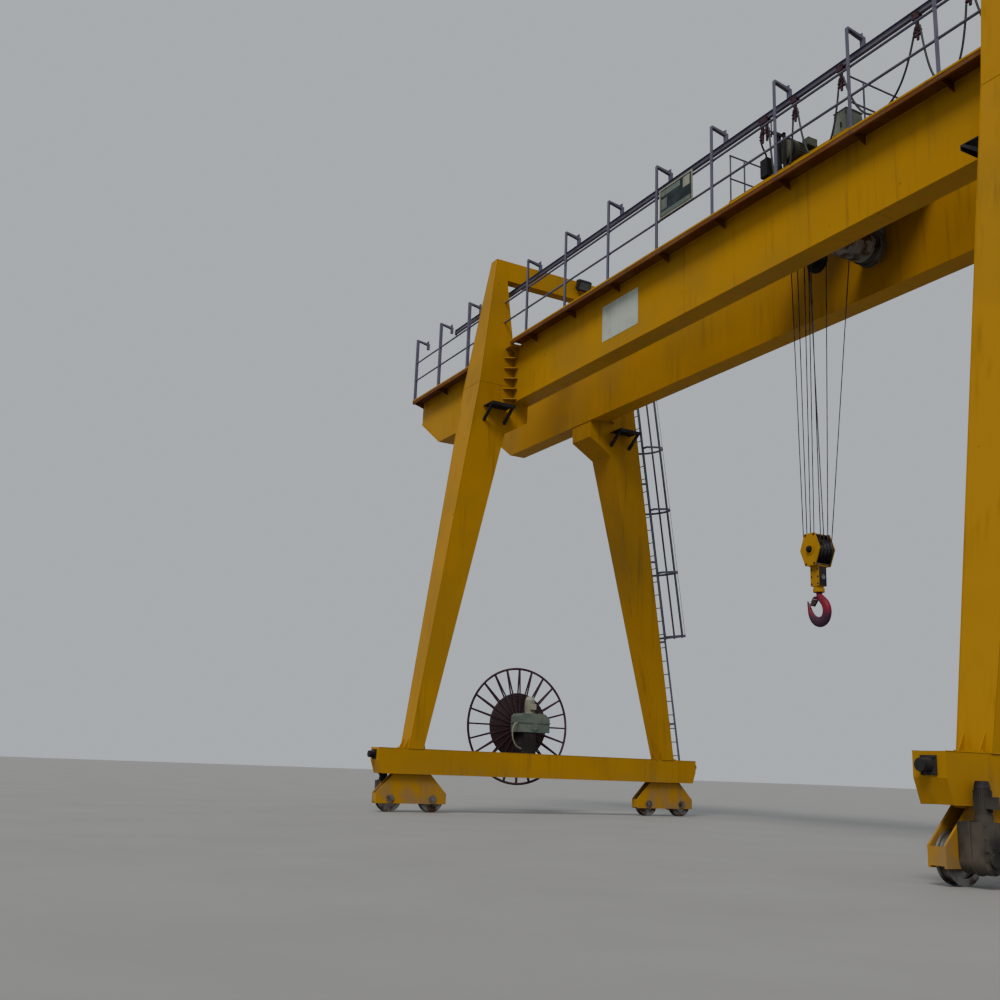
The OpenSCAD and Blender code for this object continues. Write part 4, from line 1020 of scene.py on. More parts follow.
@dataclass
class GirderTrim:
    """Welds, rail clips, a bare plate and a bare sign board on the girders and walkways."""

    shop: Workshop
    half_len: float = 10.95
    low: float = 8.63
    top: float = 9.90
    web_in: float = 0.829
    web_out: float = 1.209
    lip: float = 0.015
    flange: float = 0.020
    slope_len: float = 1.044
    rail_y: float = 1.019
    rail_foot: float = 0.05
    walk_out: float = 1.517
    seam_x: tuple[float, ...] = (-9.2, -4.6, -0.35, 3.9, 8.4)
    bead: float = 0.006
    butt: Pair = (0.008, 0.003)
    rivet_in: float = 0.040
    frame_wide: float = 0.028
    plate_x: Pair = (-2.85, -1.70)
    plate_z: Pair = (8.92, 9.64)
    board_x: Pair = (-0.64, 0.28)
    board_z: Pair = (10.43, 11.00)

    def build(self) -> None:
        """Builds the trim of both girders."""
        self.welds()
        self.plate()
        self.board()
        self.clips()

    def welds(self) -> None:
        """Fillet welds along the flanges, and butt welds across the webs."""
        s, (half, proud) = Solid(), self.butt
        run, low, high = self.half_len - self.slope_len, self.low + self.flange, self.top - self.flange
        for side in SIDES:
            for y in (side * self.web_in, side * self.web_out):
                for z, end in ((low, run), (high, self.half_len)):
                    s.rod((-end, y, z), (end, y, z), self.bead, 6)
                for x in self.seam_x:
                    s.box((x - half, y - proud, low), (x + half, y + proud, high))
            y0, y1 = sorted((side * (self.web_in - self.lip), side * (self.web_out + self.lip)))
            for x in self.seam_x:
                s.box((x - half, y0, self.low - proud), (x + half, y1, self.low + proud))
        self.shop.piece("girder_welds", s, Body.GANTRY, Slot.YELLOW, 60)

    def plate(self) -> None:
        """Bare white plate on the front girder's outer web, with rivets at its rim."""
        (x0, x1), (z0, z1) = self.plate_x, self.plate_z
        y = -self.web_out
        s = Solid().box((x0, y - 0.005, z0), (x1, y + 0.001, z1))
        self.shop.piece("web_plate", s, Body.GANTRY, Slot.BEIGE, paint=PLATE_FINISH.make("white_plate"))
        rim = self.rivet_in
        spots = [(x, z) for x in spread(x0 + rim, x1 - rim, 0.27) for z in (z0 + rim, z1 - rim)]
        spots += [(x, z) for x in (x0 + rim, x1 - rim) for z in spread(z0 + rim, z1 - rim, 0.27)[1:-1]]
        self.shop.put(Body.GANTRY, [Place((x, y - 0.005, z), (0, -1, 0), 0.008) for x, z in spots],
                      item="rivets")

    def board(self) -> None:
        """Bare dark board in a pale frame, clamped to the front railing."""
        (x0, x1), (z0, z1) = self.board_x, self.board_z
        y = -self.walk_out - 0.006
        s = Solid().box((x0, y - 0.004, z0), (x1, y, z1))
        self.shop.piece("sign_board", s, Body.GANTRY, Slot.DARK, paint=BOARD_FINISH.make("board_paint"))
        rim, f = self.frame_wide, Solid()
        for a, b, low, high in ((x0, x1, z0, z0 + rim), (x0, x1, z1 - rim, z1),
                                (x0, x0 + rim, z0 + rim, z1 - rim), (x1 - rim, x1, z0 + rim, z1 - rim)):
            f.box((a, y - 0.010, low), (b, y - 0.002, high))
        for x in (x0 + 0.15, x1 - 0.15):
            f.box((x - 0.015, y, z0 + 0.06), (x + 0.015, y + 0.008, z1 - 0.06))
            for z in (self.top + 0.55, self.top + 1.02):
                f.rod((x, y, z), (x, y + 0.012, z), 0.02, 10)
        self.shop.piece("sign_frame", f, Body.GANTRY, Slot.BEIGE)
        left = x0 + 0.05
        fields = {("board_pale_field", Slot.BEIGE): ((x0 + 0.66, x0 + 0.84, z1 - 0.24, z1 - 0.05),),
                  ("board_dull_fields", Slot.TEAL): ((left, x0 + 0.58, z1 - 0.15, z1 - 0.05),
                                                     (left, x0 + 0.21, z0 + 0.16, z0 + 0.36),
                                                     (left, x1 - 0.06, z0 + 0.045, z0 + 0.125))}
        for (name, slot), panels in fields.items():
            raised = Solid()
            for a, b, low, high in panels:
                raised.box((a, y - 0.007, low), (b, y - 0.003, high))
            self.shop.piece(name, raised, Body.GANTRY, slot)

    def clips(self) -> None:
        """Clips with bolts along both sides of the trolley rails."""
        lip, over, s, bolts = 0.014, 0.0218, Solid(), []
        for side in SIDES:
            for x in spread(-self.half_len + 0.5, self.half_len - 0.5, 0.6):
                for e in SIDES:
                    y = side * self.rail_y + e * (self.rail_foot + 0.018)
                    s.prism([(y + e * 0.03, self.top), (y - e * lip, self.top + lip - 0.001),
                             (y - e * lip, self.top + over), (y + e * 0.004, self.top + 0.024),
                             (y + e * 0.03, self.top + lip)], x - 0.03, x + 0.03, Axis.X)
                    bolts.append(Place((x, y + e * 0.004, self.top + 0.018), (0, 0, 1), 0.010))
        self.shop.put(Body.GANTRY, bolts)
        self.shop.piece("rail_clips", s, Body.GANTRY, Slot.STEEL, 30)


@dataclass
class FestoonLine:
    """Hanging cable loops, their clamps, and the lead to the trolley's junction box."""

    shop: Workshop
    y: float = -1.190
    saddle_z: float = 11.070
    saddle_r: float = 0.030
    cable_r: float = 0.016
    seat: float = 0.0003
    loop_len: float = 2.400
    clamp: float = 9.060
    stops: tuple[float, ...] = (7.900, 6.750, 5.600, 4.750, 3.350, 2.390, 1.700)
    tow_saddle: float = 0.050
    track_top: float = 11.360
    roller_z: float = 11.284
    box_at: Point = (1.520, -1.000, 10.708)

    def build(self) -> None:
        """Builds the loops and the lead."""
        loops = []
        for held, towed, b, stop in zip((Body.GANTRY, *CARRIERS), CARRIERS, (self.clamp, *self.stops), self.stops):
            a = stop + (self.tow_saddle if towed is Body.TOW else 0.0)
            s = Solid().tube(self.loop(a, b), self.cable_r, 12)
            made = self.shop.loose(f"festoon_loop_{len(loops) + 1}", s, Slot.CABLE)
            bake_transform(made)
            loops.append(made)
        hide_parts("festoon_cable")
        self.lead()
        self.hangers()

    def loop(self, a: float, b: float) -> list[Point]:
        """Line of one loop between two saddles, laid over both of them.

        Args:
            a: Centre of the left saddle along X.
            b: Centre of the right saddle along X.

        Returns:
            Points from left to right.
        """
        off = self.saddle_r + self.cable_r + self.seat
        line = hanging(a + off, b - off, self.y, self.saddle_z, self.loop_len)
        over = [(math.cos(t) * off, math.sin(t) * off) for t in (math.radians(d) for d in (82, 55, 28))]
        left = [(a + u, self.y, self.saddle_z + v) for u, v in over]
        right = [(b - u, self.y, self.saddle_z + v) for u, v in reversed(over)]
        return [*left, *line, *right]

    def lead(self) -> None:
        """Lead from the towed carrier to the top of the trolley's junction box."""
        a = self.stops[-1] - self.tow_saddle - self.saddle_r - self.cable_r - self.seat
        bx, by, top = self.box_at
        z = self.saddle_z
        line = bend([(a, self.y, z), (a - 0.002, self.y + 0.002, z - 0.110),
                     (a - 0.012, along(self.y, by, 0.18), z - 0.190),
                     (a - 0.040, along(self.y, by, 0.55), z - 0.245),
                     (bx + 0.012, along(self.y, by, 0.9), top + 0.085), (bx, by, top + 0.045),
                     (bx, by, top - 0.005)], 60)
        self.shop.piece("festoon_lead", Solid().tube(line, self.cable_r, 12), Body.TROLLEY, Slot.CABLE)
        gland = Solid().lathe([(0.034, -0.004), (0.034, 0.02), (0.026, 0.035), (0.0195, 0.05), (0.0165, 0.05)],
                              Matrix.Translation((bx, by, top)), 16)
        self.shop.piece("lead_gland", gland, Body.TROLLEY, Slot.DARK)

    def hangers(self) -> None:
        """Tapered cable clamps under the saddles, with straps, and the bolts of the side plates."""
        for body, x in zip(CARRIERS, self.stops):
            if body is Body.TOW:
                self.hanger(body, x, self.tow_saddle, 0.100)
            else:
                self.hanger(body, x, 0.0, 0.062)
        arms = [side * x for side in SIDES for x in (*WalkwayTrim.main_posts, *WalkwayTrim.outer_posts)]
        self.shop.put(Body.GANTRY, [Place((x + dx, self.y, self.track_top), (0, 0, 1), 0.009)
                                    for x in arms for dx in (-0.018, 0.018)], Slot.RAIL)
        clamp = Solid()
        self.clamp_under(clamp, self.clamp, 1)
        self.shop.piece("fixed_cable_clamp", clamp, Body.GANTRY, Slot.RAIL)

    def hanger(self, body: Body, x: float, saddle: float, half: float) -> None:
        """Clamps and bolts of one carrier.

        Args:
            body: The carrier.
            x: Place of its middle along X.
            saddle: Distance from its middle to its saddles.
            half: Half of its length.
        """
        s = Solid()
        for side in SIDES if saddle else (0,):
            self.clamp_under(s, x + side * saddle, side)
        self.shop.piece(body.value + "_clamp", s, body, Slot.RUST)
        bolts = [Place((x + e * (half - 0.022), self.y + side * 0.042, self.roller_z), (0, side, 0), 0.011)
                 for e in SIDES for side in SIDES]
        bolts += [Place((x, self.y + side * 0.030, self.saddle_z), (0, side, 0), 0.012) for side in SIDES]
        self.shop.put(body, bolts, Slot.RUST)

    def clamp_under(self, s: Solid, x: float, side: int) -> None:
        """Adds the tapered plate under one saddle and the straps round the cable beside it.

        Args:
            s: The solid that they are added to.
            x: Place of the saddle along X.
            side: 0 where the cable hangs on both sides, or -1 or 1 for the one side where it does.
        """
        z, out = self.saddle_z, self.saddle_r + self.cable_r
        s.prism([(x - 0.029, z), (x + 0.029, z), (x + 0.016, z - 0.19), (x - 0.016, z - 0.19)],
                self.y - 0.012, self.y + 0.012, Axis.Y)
        for e in (side,) if side else SIDES:
            for drop in (0.05, 0.11):
                s.box((x + e * 0.012, self.y - 0.021, z - drop - 0.009),
                      (x + e * (out + 0.020), self.y + 0.021, z - drop + 0.009))


@dataclass
class RopeFalls:
    """Eight falls of stranded wire rope between the hook block and the trolley."""

    shop: Workshop
    hook_x: float = 1.390
    r: float = 0.009
    low: float = 4.355
    high: float = 9.300
    lift: float = 0.120
    lay: float = 0.130
    strands: int = 6
    falls: tuple[tuple[Pair, Pair], ...] = (
        ((0.178, -0.108), (0.480, -0.440)), ((-0.178, -0.108), (-0.200, -0.200)),
        ((0.178, -0.036), (0.200, -0.200)), ((-0.178, -0.036), (-0.178, -0.080)),
        ((-0.178, 0.036), (-0.178, 0.080)), ((0.178, 0.036), (0.200, 0.200)),
        ((-0.178, 0.108), (-0.200, 0.200)), ((0.178, 0.108), (0.480, 0.440)))

    def build(self) -> None:
        """Builds the falls as one piece that stretches between its two bodies."""
        s = Solid()
        for low, high in self.falls:
            lift = self.lift if abs(high[1]) < 0.1 else 0.0
            a = Vector((self.hook_x + low[0], low[1], self.low))
            b = Vector((self.hook_x + high[0], high[1], self.high + lift))
            count = round((b - a).length / (self.lay / 8))
            path = [tuple(a.lerp(b, i / count)) for i in range(count + 1)]
            turns = (b - a).length / self.lay
            s.sweep(path, lambda t, n=turns: self.section(t * n))
        made = self.shop.loose("rope_falls", s, Slot.ROPE, 50)
        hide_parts("hoist_ropes")
        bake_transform(made)

    def section(self, turn: float) -> list[Pair]:
        """Outline of the rope with its strands.

        Args:
            turn: How far the strands have turned, in turns.

        Returns:
            Corners of the outline.
        """
        corners = 2 * self.strands
        return [(k * math.cos(a), k * math.sin(a)) for i in range(corners)
                for a, k in [(math.tau * (i / corners + turn), self.r * (1.0 if i % 2 else 0.82))]]


@dataclass
class WalkwayTrim:
    """Yellow toe strips, whose colour is a painted highlight of the lit top edge of the walkway's edge channel, and the
    post feet, rail sleeves and bolts of both walkways.
    """

    shop: Workshop
    top: float = 9.900
    out: float = 1.517
    web: float = 1.2085
    leg_face: float = 6.2745
    post_w: float = 0.065
    main_end: float = 5.944
    outer_run: Pair = (6.9085, 10.950)
    main_posts: tuple[float, ...] = (0.7565, 2.2695, 3.7825, 5.2955)
    outer_posts: tuple[float, ...] = (8.020, 9.533, 10.885)
    rails: Pair = (0.550, 1.020)

    def build(self) -> None:
        """Builds one quarter of the trim and mirrors it."""
        strip, fittings = Solid(), Solid()
        low, high = self.out - 0.001, self.out + 0.006
        # The yellow strips along the outer edge are a painted highlight of the edge channel's lit top edge.
        for a, b in ((0.0, self.main_end), self.outer_run):
            strip.box((a, low, self.top - 0.006), (b, high, self.top + 0.026))
        bolts = []
        for x in (*self.main_posts, *self.outer_posts):
            fittings.box((x - 0.055, self.out - 0.115, self.top), (x + 0.055, self.out - 0.002, self.top + 0.008))
            bolts += [Place((x + dx, self.out - 0.095, self.top + 0.008), (0, 0, 1), 0.009) for dx in (-0.04, 0.04)]
            bolts += [Place((x + dx, self.out, self.top - 0.045), (0, 1, 0), 0.010) for dx in (-0.02, 0.02)]
            for rise in self.rails:
                y, z = self.out - self.post_w / 2, self.top + rise
                fittings.rod((x - 0.05, y, z), (x + 0.012, y, z), 0.026, 16)
                bolts.append(Place((x + 0.012, self.out, z), (0, 1, 0), 0.008))
        strip.box((self.main_end - 0.004, self.web, self.top - 0.055),
                  (self.leg_face, self.web + 0.235, self.top - 0.040))
        strip.prism([(self.web, self.top - 0.055), (self.web + 0.20, self.top - 0.055), (self.web, self.top - 0.24)],
                    self.leg_face - 0.17, self.leg_face - 0.158, Axis.X)
        self.shop.put(Body.GANTRY, at_corners(bolts), Slot.RAIL)
        self.shop.piece("toe_strips", strip.at_corners(), Body.GANTRY, Slot.YELLOW)
        self.shop.piece("railing_fittings", fittings.at_corners(), Body.GANTRY, Slot.RAIL)


@dataclass
class LegTrim:
    """Seams, foot ribs and bolts of the four legs."""

    shop: Workshop
    face: float = 6.274
    sill: float = 1.200
    corbel: float = 7.900
    knee: float = 8.990
    beam: float = 11.460
    top: float = 11.920
    foot_x: Pair = (6.320, 6.716)
    corbel_x: Pair = (6.2804, 6.999)
    knee_far: float = 7.045
    beam_far: float = 6.606
    top_far: float = 6.524
    foot_y: Pair = (2.910, 3.222)
    corbel_y: float = 1.3897
    knee_y: Pair = (1.232, 2.037)
    beam_y: float = 1.4537
    top_y: Pair = (1.517, 1.737)
    web_run: tuple[float, float, float] = (1.210, 8.660, 9.880)
    rib_x: Pair = (6.400, 6.636)
    rib: float = 0.006
    plate_x: Pair = (6.345, 6.691)
    plate: float = 0.014
    bolt_x: tuple[float, ...] = (6.365, 6.455, 6.580, 6.670)
    seam: float = 0.006

    def build(self) -> None:
        """Builds one leg's seams and ribs and mirrors them."""
        leg, low, (inner, outer) = self.seams(), self.sill, self.foot_y
        for x in self.rib_x:
            for outline in ([(outer - 0.002, low), (outer + 0.085, low), (outer - 0.034, low + 0.21)],
                            [(inner + 0.002, low), (inner - 0.075, low), (inner - 0.040, low + 0.19)]):
                leg.prism(outline, x - self.rib, x + self.rib, Axis.X)
        leg.box((self.plate_x[0], outer, low), (self.plate_x[1], outer + 0.10, low + self.plate))
        bolts = [Place((x, outer + 0.075, low + self.plate), (0, 0, 1), 0.015) for x in self.bolt_x]
        self.shop.put(Body.GANTRY, at_corners(bolts), Slot.YELLOW)
        self.shop.piece("leg_seams", leg.at_corners(), Body.GANTRY, Slot.YELLOW, 60)

    def seams(self) -> Solid:
        """Makes the weld seams along a leg's edges, round its knee and where it meets the top beam.

        Returns:
            The seams.
        """
        s, top = Solid(), self.top - self.seam
        near, far = ([(foot, self.foot_y[1], self.sill), (knee, self.knee_y[1], self.knee), (head, self.top_y[1], top)]
                     for foot, knee, head in ((self.foot_x[0], self.face, self.face),
                                              (self.foot_x[1], self.knee_far, self.top_far)))
        inside = [((foot, self.foot_y[0], self.sill), (head, self.corbel_y, self.corbel))
                  for foot, head in zip(self.foot_x, self.corbel_x)]
        knee_in, top_in, (web, web_low, web_high) = self.knee_y[0], self.top_y[0], self.web_run
        runs = [*zip(near, near[1:]), *zip(far, far[1:]), *inside, *zip(near, far),
                (inside[0][0], near[0]), (inside[1][0], far[0]),
                ((self.face, knee_in, self.knee), near[1]), ((self.knee_far, knee_in, self.knee), far[1]),
                ((self.face, self.beam_y, self.beam), (self.face, top_in, top)),
                ((self.beam_far, self.beam_y, self.beam), (self.top_far, top_in, top)),
                ((self.face, web, web_low), (self.face, web, web_high))]
        for a, b in runs:
            s.rod(a, b, self.seam, 6)
        return s


@dataclass
class FloodLamps:
    """One flood lamp near the rear end of each top beam, on a bracket from the beam's face."""

    shop: Workshop
    y: Pair = (0.300, 0.620)
    low: float = 11.635
    back: float = 6.176
    reach: float = 0.165
    run: float = 0.105
    fall: float = 0.185
    rim: float = 0.018
    lip: float = 0.08

    def build(self) -> None:
        """Builds one lamp with its bezel, glass and cooling ribs, and mirrors it."""
        case, pane, bezel = Solid(), Solid(), Solid()
        (y0, y1), z, back, rim, lip = self.y, self.low, self.back, self.rim, self.lip
        case.prism([(back, z + 0.020), (back, z + 0.240), (back - 0.020, z + 0.260), (back - 0.130, z + 0.235),
                    (back - 0.158, z + 0.215), self.slope(0, 0), self.slope(1, 0), (back - 0.020, z)], y0, y1, Axis.Y)
        for y in (y0 + 0.040, y1 - 0.080):
            case.box((back - 0.001, y, z + 0.110), (back + 0.091, y + 0.040, z + 0.150))
        case.box((back + 0.090, y0 + 0.040, z + 0.100), (back + 0.098, y1 - 0.040, z + 0.160))
        self.shop.put(Body.GANTRY, [Place((sx * (back + 0.090), y, z + 0.130), (-sx, 0, 0), 0.010)
                                    for sx in SIDES for y in (y0 + 0.110, y1 - 0.110)], Slot.DARK)
        pane.prism(self.strip(0.07, 0.93, 0.003), y0 + rim, y1 - rim, Axis.Y)
        for a, b, low, high in ((0.0, lip, y0, y1), (1.0 - lip, 1.0, y0, y1), (lip, 1.0 - lip, y0, y0 + rim),
                                (lip, 1.0 - lip, y1 - rim, y1)):
            bezel.prism(self.strip(a, b, 0.010), low, high, Axis.Y)
        for rib in spread(y0 + 0.03, y1 - 0.03, 0.03):
            bezel.prism([(back - 0.020, z + 0.255), (back - 0.130, z + 0.230), (back - 0.125, z + 0.250),
                         (back - 0.025, z + 0.272)], rib - 0.002, rib + 0.002, Axis.Y)
        self.shop.piece("flood_lamp_cases", case.at_ends(), Body.GANTRY, Slot.DARK, stands_for=["flood_lamps"])
        self.shop.piece("lamp_glass", pane.at_ends(), Body.GANTRY, Slot.BEIGE, paint=Glass().make("lamp_glass"))
        self.shop.piece("lamp_frames", bezel.at_ends(), Body.GANTRY, Slot.DARK)

    def slope(self, t: float, out: float) -> Pair:
        """Point on the sloping front.

        Args:
            t: Share of the way down.
            out: How far it stands out from the front.

        Returns:
            The point, along X and Z.
        """
        long = math.hypot(self.run, self.fall)
        return (self.back - self.reach + self.run * t - self.fall / long * out,
                self.low + self.fall * (1 - t) - self.run / long * out)

    def strip(self, a: float, b: float, proud: float) -> list[Pair]:
        """Outline of a strip on the sloping front, from share a to share b of the way down."""
        return [self.slope(a, -0.001), self.slope(b, -0.001), self.slope(b, proud), self.slope(a, proud)]


@dataclass
class GroundTrim:
    """Seams, covers, fins and bolts of the sill beams, bogies, drives and buffers."""

    shop: Workshop
    mid: float = 6.518
    bogie_y: float = 3.066
    half_base: float = 0.450
    axle_z: float = 0.250
    face: float = 0.102
    sill_half: float = 0.190
    sill_z: Pair = (0.720, 1.200)
    sill_end: float = 3.850
    seam_y: tuple[float, ...] = (0.0, 1.250, 2.450)
    gear_end: float = 6.900
    case_r: float = 0.143
    case_rise: float = 0.343
    split_x: Pair = (6.752, 6.768)
    motor_x: float = 6.813
    buffer_rib_y: tuple[float, ...] = (3.890, 3.918, 3.946)
    buffer_z: float = 1.070

    def build(self) -> None:
        """Builds one corner and mirrors it."""
        parts = {Slot.YELLOW: self.sill(), Slot.DARK: Solid(), Slot.STEEL: Solid()}
        bolts: dict[Slot, list[Place]] = {Slot.YELLOW: [], Slot.DARK: []}
        self.wheels(parts[Slot.STEEL], bolts[Slot.YELLOW])
        self.drive(parts[Slot.DARK], bolts[Slot.DARK])
        self.buffer(parts[Slot.DARK], bolts[Slot.DARK])
        names = {Slot.YELLOW: "sill_seams", Slot.DARK: "drive_and_buffer_covers", Slot.STEEL: "axle_keepers"}
        for slot, name in names.items():
            self.shop.piece(name, parts[slot].at_corners(), Body.GANTRY, slot)
        for slot, places in bolts.items():
            self.shop.put(Body.GANTRY, at_corners(places), slot)

    def sill(self) -> Solid:
        """Makes the welds along and across a sill beam, and along a bogie's top plate.

        Returns:
            The welds.
        """
        s = Solid()
        low, high = self.sill_z
        for x in (self.mid - self.sill_half, self.mid + self.sill_half):
            s.rod((x, 0, high), (x, self.sill_end, high), 0.005, 6)
            s.rod((x, 0, low), (x, self.bogie_y + 0.70, low), 0.005, 6)
            for y in self.seam_y:
                s.box((x - 0.003, y, low), (x + 0.003, y + 0.014, high))
        for x in (self.mid - self.face, self.mid + self.face):
            s.rod((x, self.bogie_y - 0.39, low), (x, self.bogie_y + 0.39, low), 0.007, 6)
        return s

    def wheels(self, keepers: Solid, bolts: list[Place]) -> None:
        """Bearing covers on the bogie's side plates, with a keeper on each axle.

        Args:
            keepers: The solid that they are added to.
            bolts: The list that their bolts are added to.
        """
        for e in SIDES:
            y = self.bogie_y + e * self.half_base
            for side in SIDES:
                if e > 0 and side > 0:
                    continue  # The travel drive covers this side.
                x, z = self.mid + side * self.face, self.axle_z
                bolts += bolted_cover(keepers, (x, y, z), (side, 0, 0), 0.082, 0.012, 0.066, 0.009, 32, 30)
                keepers.box((x, y - 0.055, z + 0.03), (x + side * 0.026, y + 0.055, z + 0.052))

    def drive(self, s: Solid, bolts: list[Place]) -> None:
        """Split flange, end cover, fins and terminal box of a travel drive.

        Args:
            s: The solid that they are added to.
            bolts: The list that their bolts are added to.
        """
        y, z = self.bogie_y + self.half_base, self.axle_z
        arc = [(y + self.case_r * math.cos(a), z + self.case_r * math.sin(a))
               for a in (math.radians(d) for d in range(180, 361, 15))]
        top = z + self.case_rise
        s.prism([(y + self.case_r, top), (y - self.case_r, top), *arc], *self.split_x, Axis.X)
        s.rod((self.gear_end, y, z), (self.gear_end + 0.014, y, z), 0.062, 24)
        bolts += ring_of((self.gear_end, y, z), (1, 0, 0), 0.105, 8, 0.010)
        bolts += [Place((self.gear_end, y + dy, h), (1, 0, 0), 0.010) for dy in (-0.108, 0.108)
                  for h in (0.33, 0.44, 0.55)]
        motor = (self.motor_x, y)
        s.fins((*motor, 0.660), (0, 0, 1), 0.066, 0.081, 0.205, 22)
        bolts += ring_of((*motor, 0.640), (0, 0, 1), 0.0745, 6, 0.006, 15)
        s.box((motor[0] + 0.06, y - 0.05, 0.70), (motor[0] + 0.128, y + 0.05, 0.80))
        s.box((motor[0] + 0.128, y - 0.055, 0.695), (motor[0] + 0.134, y + 0.055, 0.805))
        s.grille((*motor, 0.940), (0, 0, 1), (0.018, 0.036, 0.054), 0.005)

    def buffer(self, s: Solid, bolts: list[Place]) -> None:
        """Ribs of a rubber buffer and the bolts of its plate.

        Args:
            s: The solid that they are added to.
            bolts: The list that their bolts are added to.
        """
        for y in self.buffer_rib_y:
            s.ring((self.mid, y, self.buffer_z), (0, 1, 0), 0.055, 0.067, 0.012, 32)
        bolts += [Place((self.mid + dx, self.sill_end + 0.016, self.buffer_z + dz), (0, 1, 0), 0.012)
                  for dx in (-0.072, 0.072) for dz in (-0.072, 0.072)]


@dataclass
class LadderTrim:
    """Foot plates of the ladder's brackets and bolts of its cage."""

    shop: Workshop
    x: float = -6.534
    half: float = 0.200
    gap: float = 0.170
    cage_r: float = 0.340
    hoop_z: float = 3.900
    hoop_pitch: float = 1.446
    hoops: int = 5
    bar_turns: tuple[int, ...] = (-72, -36, 0, 36, 72)
    plate_z: tuple[float, ...] = (2.0, 3.8, 5.6, 7.4)
    lean: float = math.atan((LegTrim.foot_y[1] - LegTrim.knee_y[1]) / (LegTrim.knee - LegTrim.sill))

    def frame(self, z: float) -> Matrix:
        """Frame on the ladder at height z, with its own Z axis along the ladder."""
        y = LegTrim.foot_y[1] + (LegTrim.sill - z) * math.tan(self.lean) + self.gap
        return Matrix.Translation((self.x, y, z)) @ Matrix.Rotation(self.lean, 4, "X")

    def build(self) -> None:
        """Builds the plates and sets the bolts out."""
        plates, bolts = Solid(), []
        wall = -self.gap * math.cos(self.lean)
        front = wall + 0.008
        for frame in map(self.frame, self.plate_z):
            for side in SIDES:
                x = side * self.half
                plate = Solid().box((x - 0.030, wall, -0.050), (x + 0.030, front, 0.050))
                plates.add([frame @ p for p in plate.points], plate.faces)
                bolts += [self.place(frame, (x + side * 0.018, front, dz), (0, 1, 0), 0.009) for dz in (-0.034, 0.034)]
        reach = (self.cage_r + 0.008) * math.cos(math.radians(6))
        for i in range(self.hoops):
            frame = self.frame(self.hoop_z + i * self.hoop_pitch)
            for a in map(math.radians, self.bar_turns):
                out = (-math.sin(a), math.cos(a), 0)
                at = (reach * out[0], self.cage_r * 0.95 + reach * out[1], 0)
                bolts.append(self.place(frame, at, out, 0.008))
        self.shop.piece("ladder_plates", plates, Body.GANTRY, Slot.RAIL)
        self.shop.put(Body.GANTRY, bolts, Slot.RAIL)

    @staticmethod
    def place(frame: Matrix, at: Point, out: Point, size: float) -> Place:
        """Place of a bolt that is given in the ladder's own frame."""
        return Place(tuple(frame @ Vector(at)), tuple(frame.to_3x3() @ Vector(out)), size)


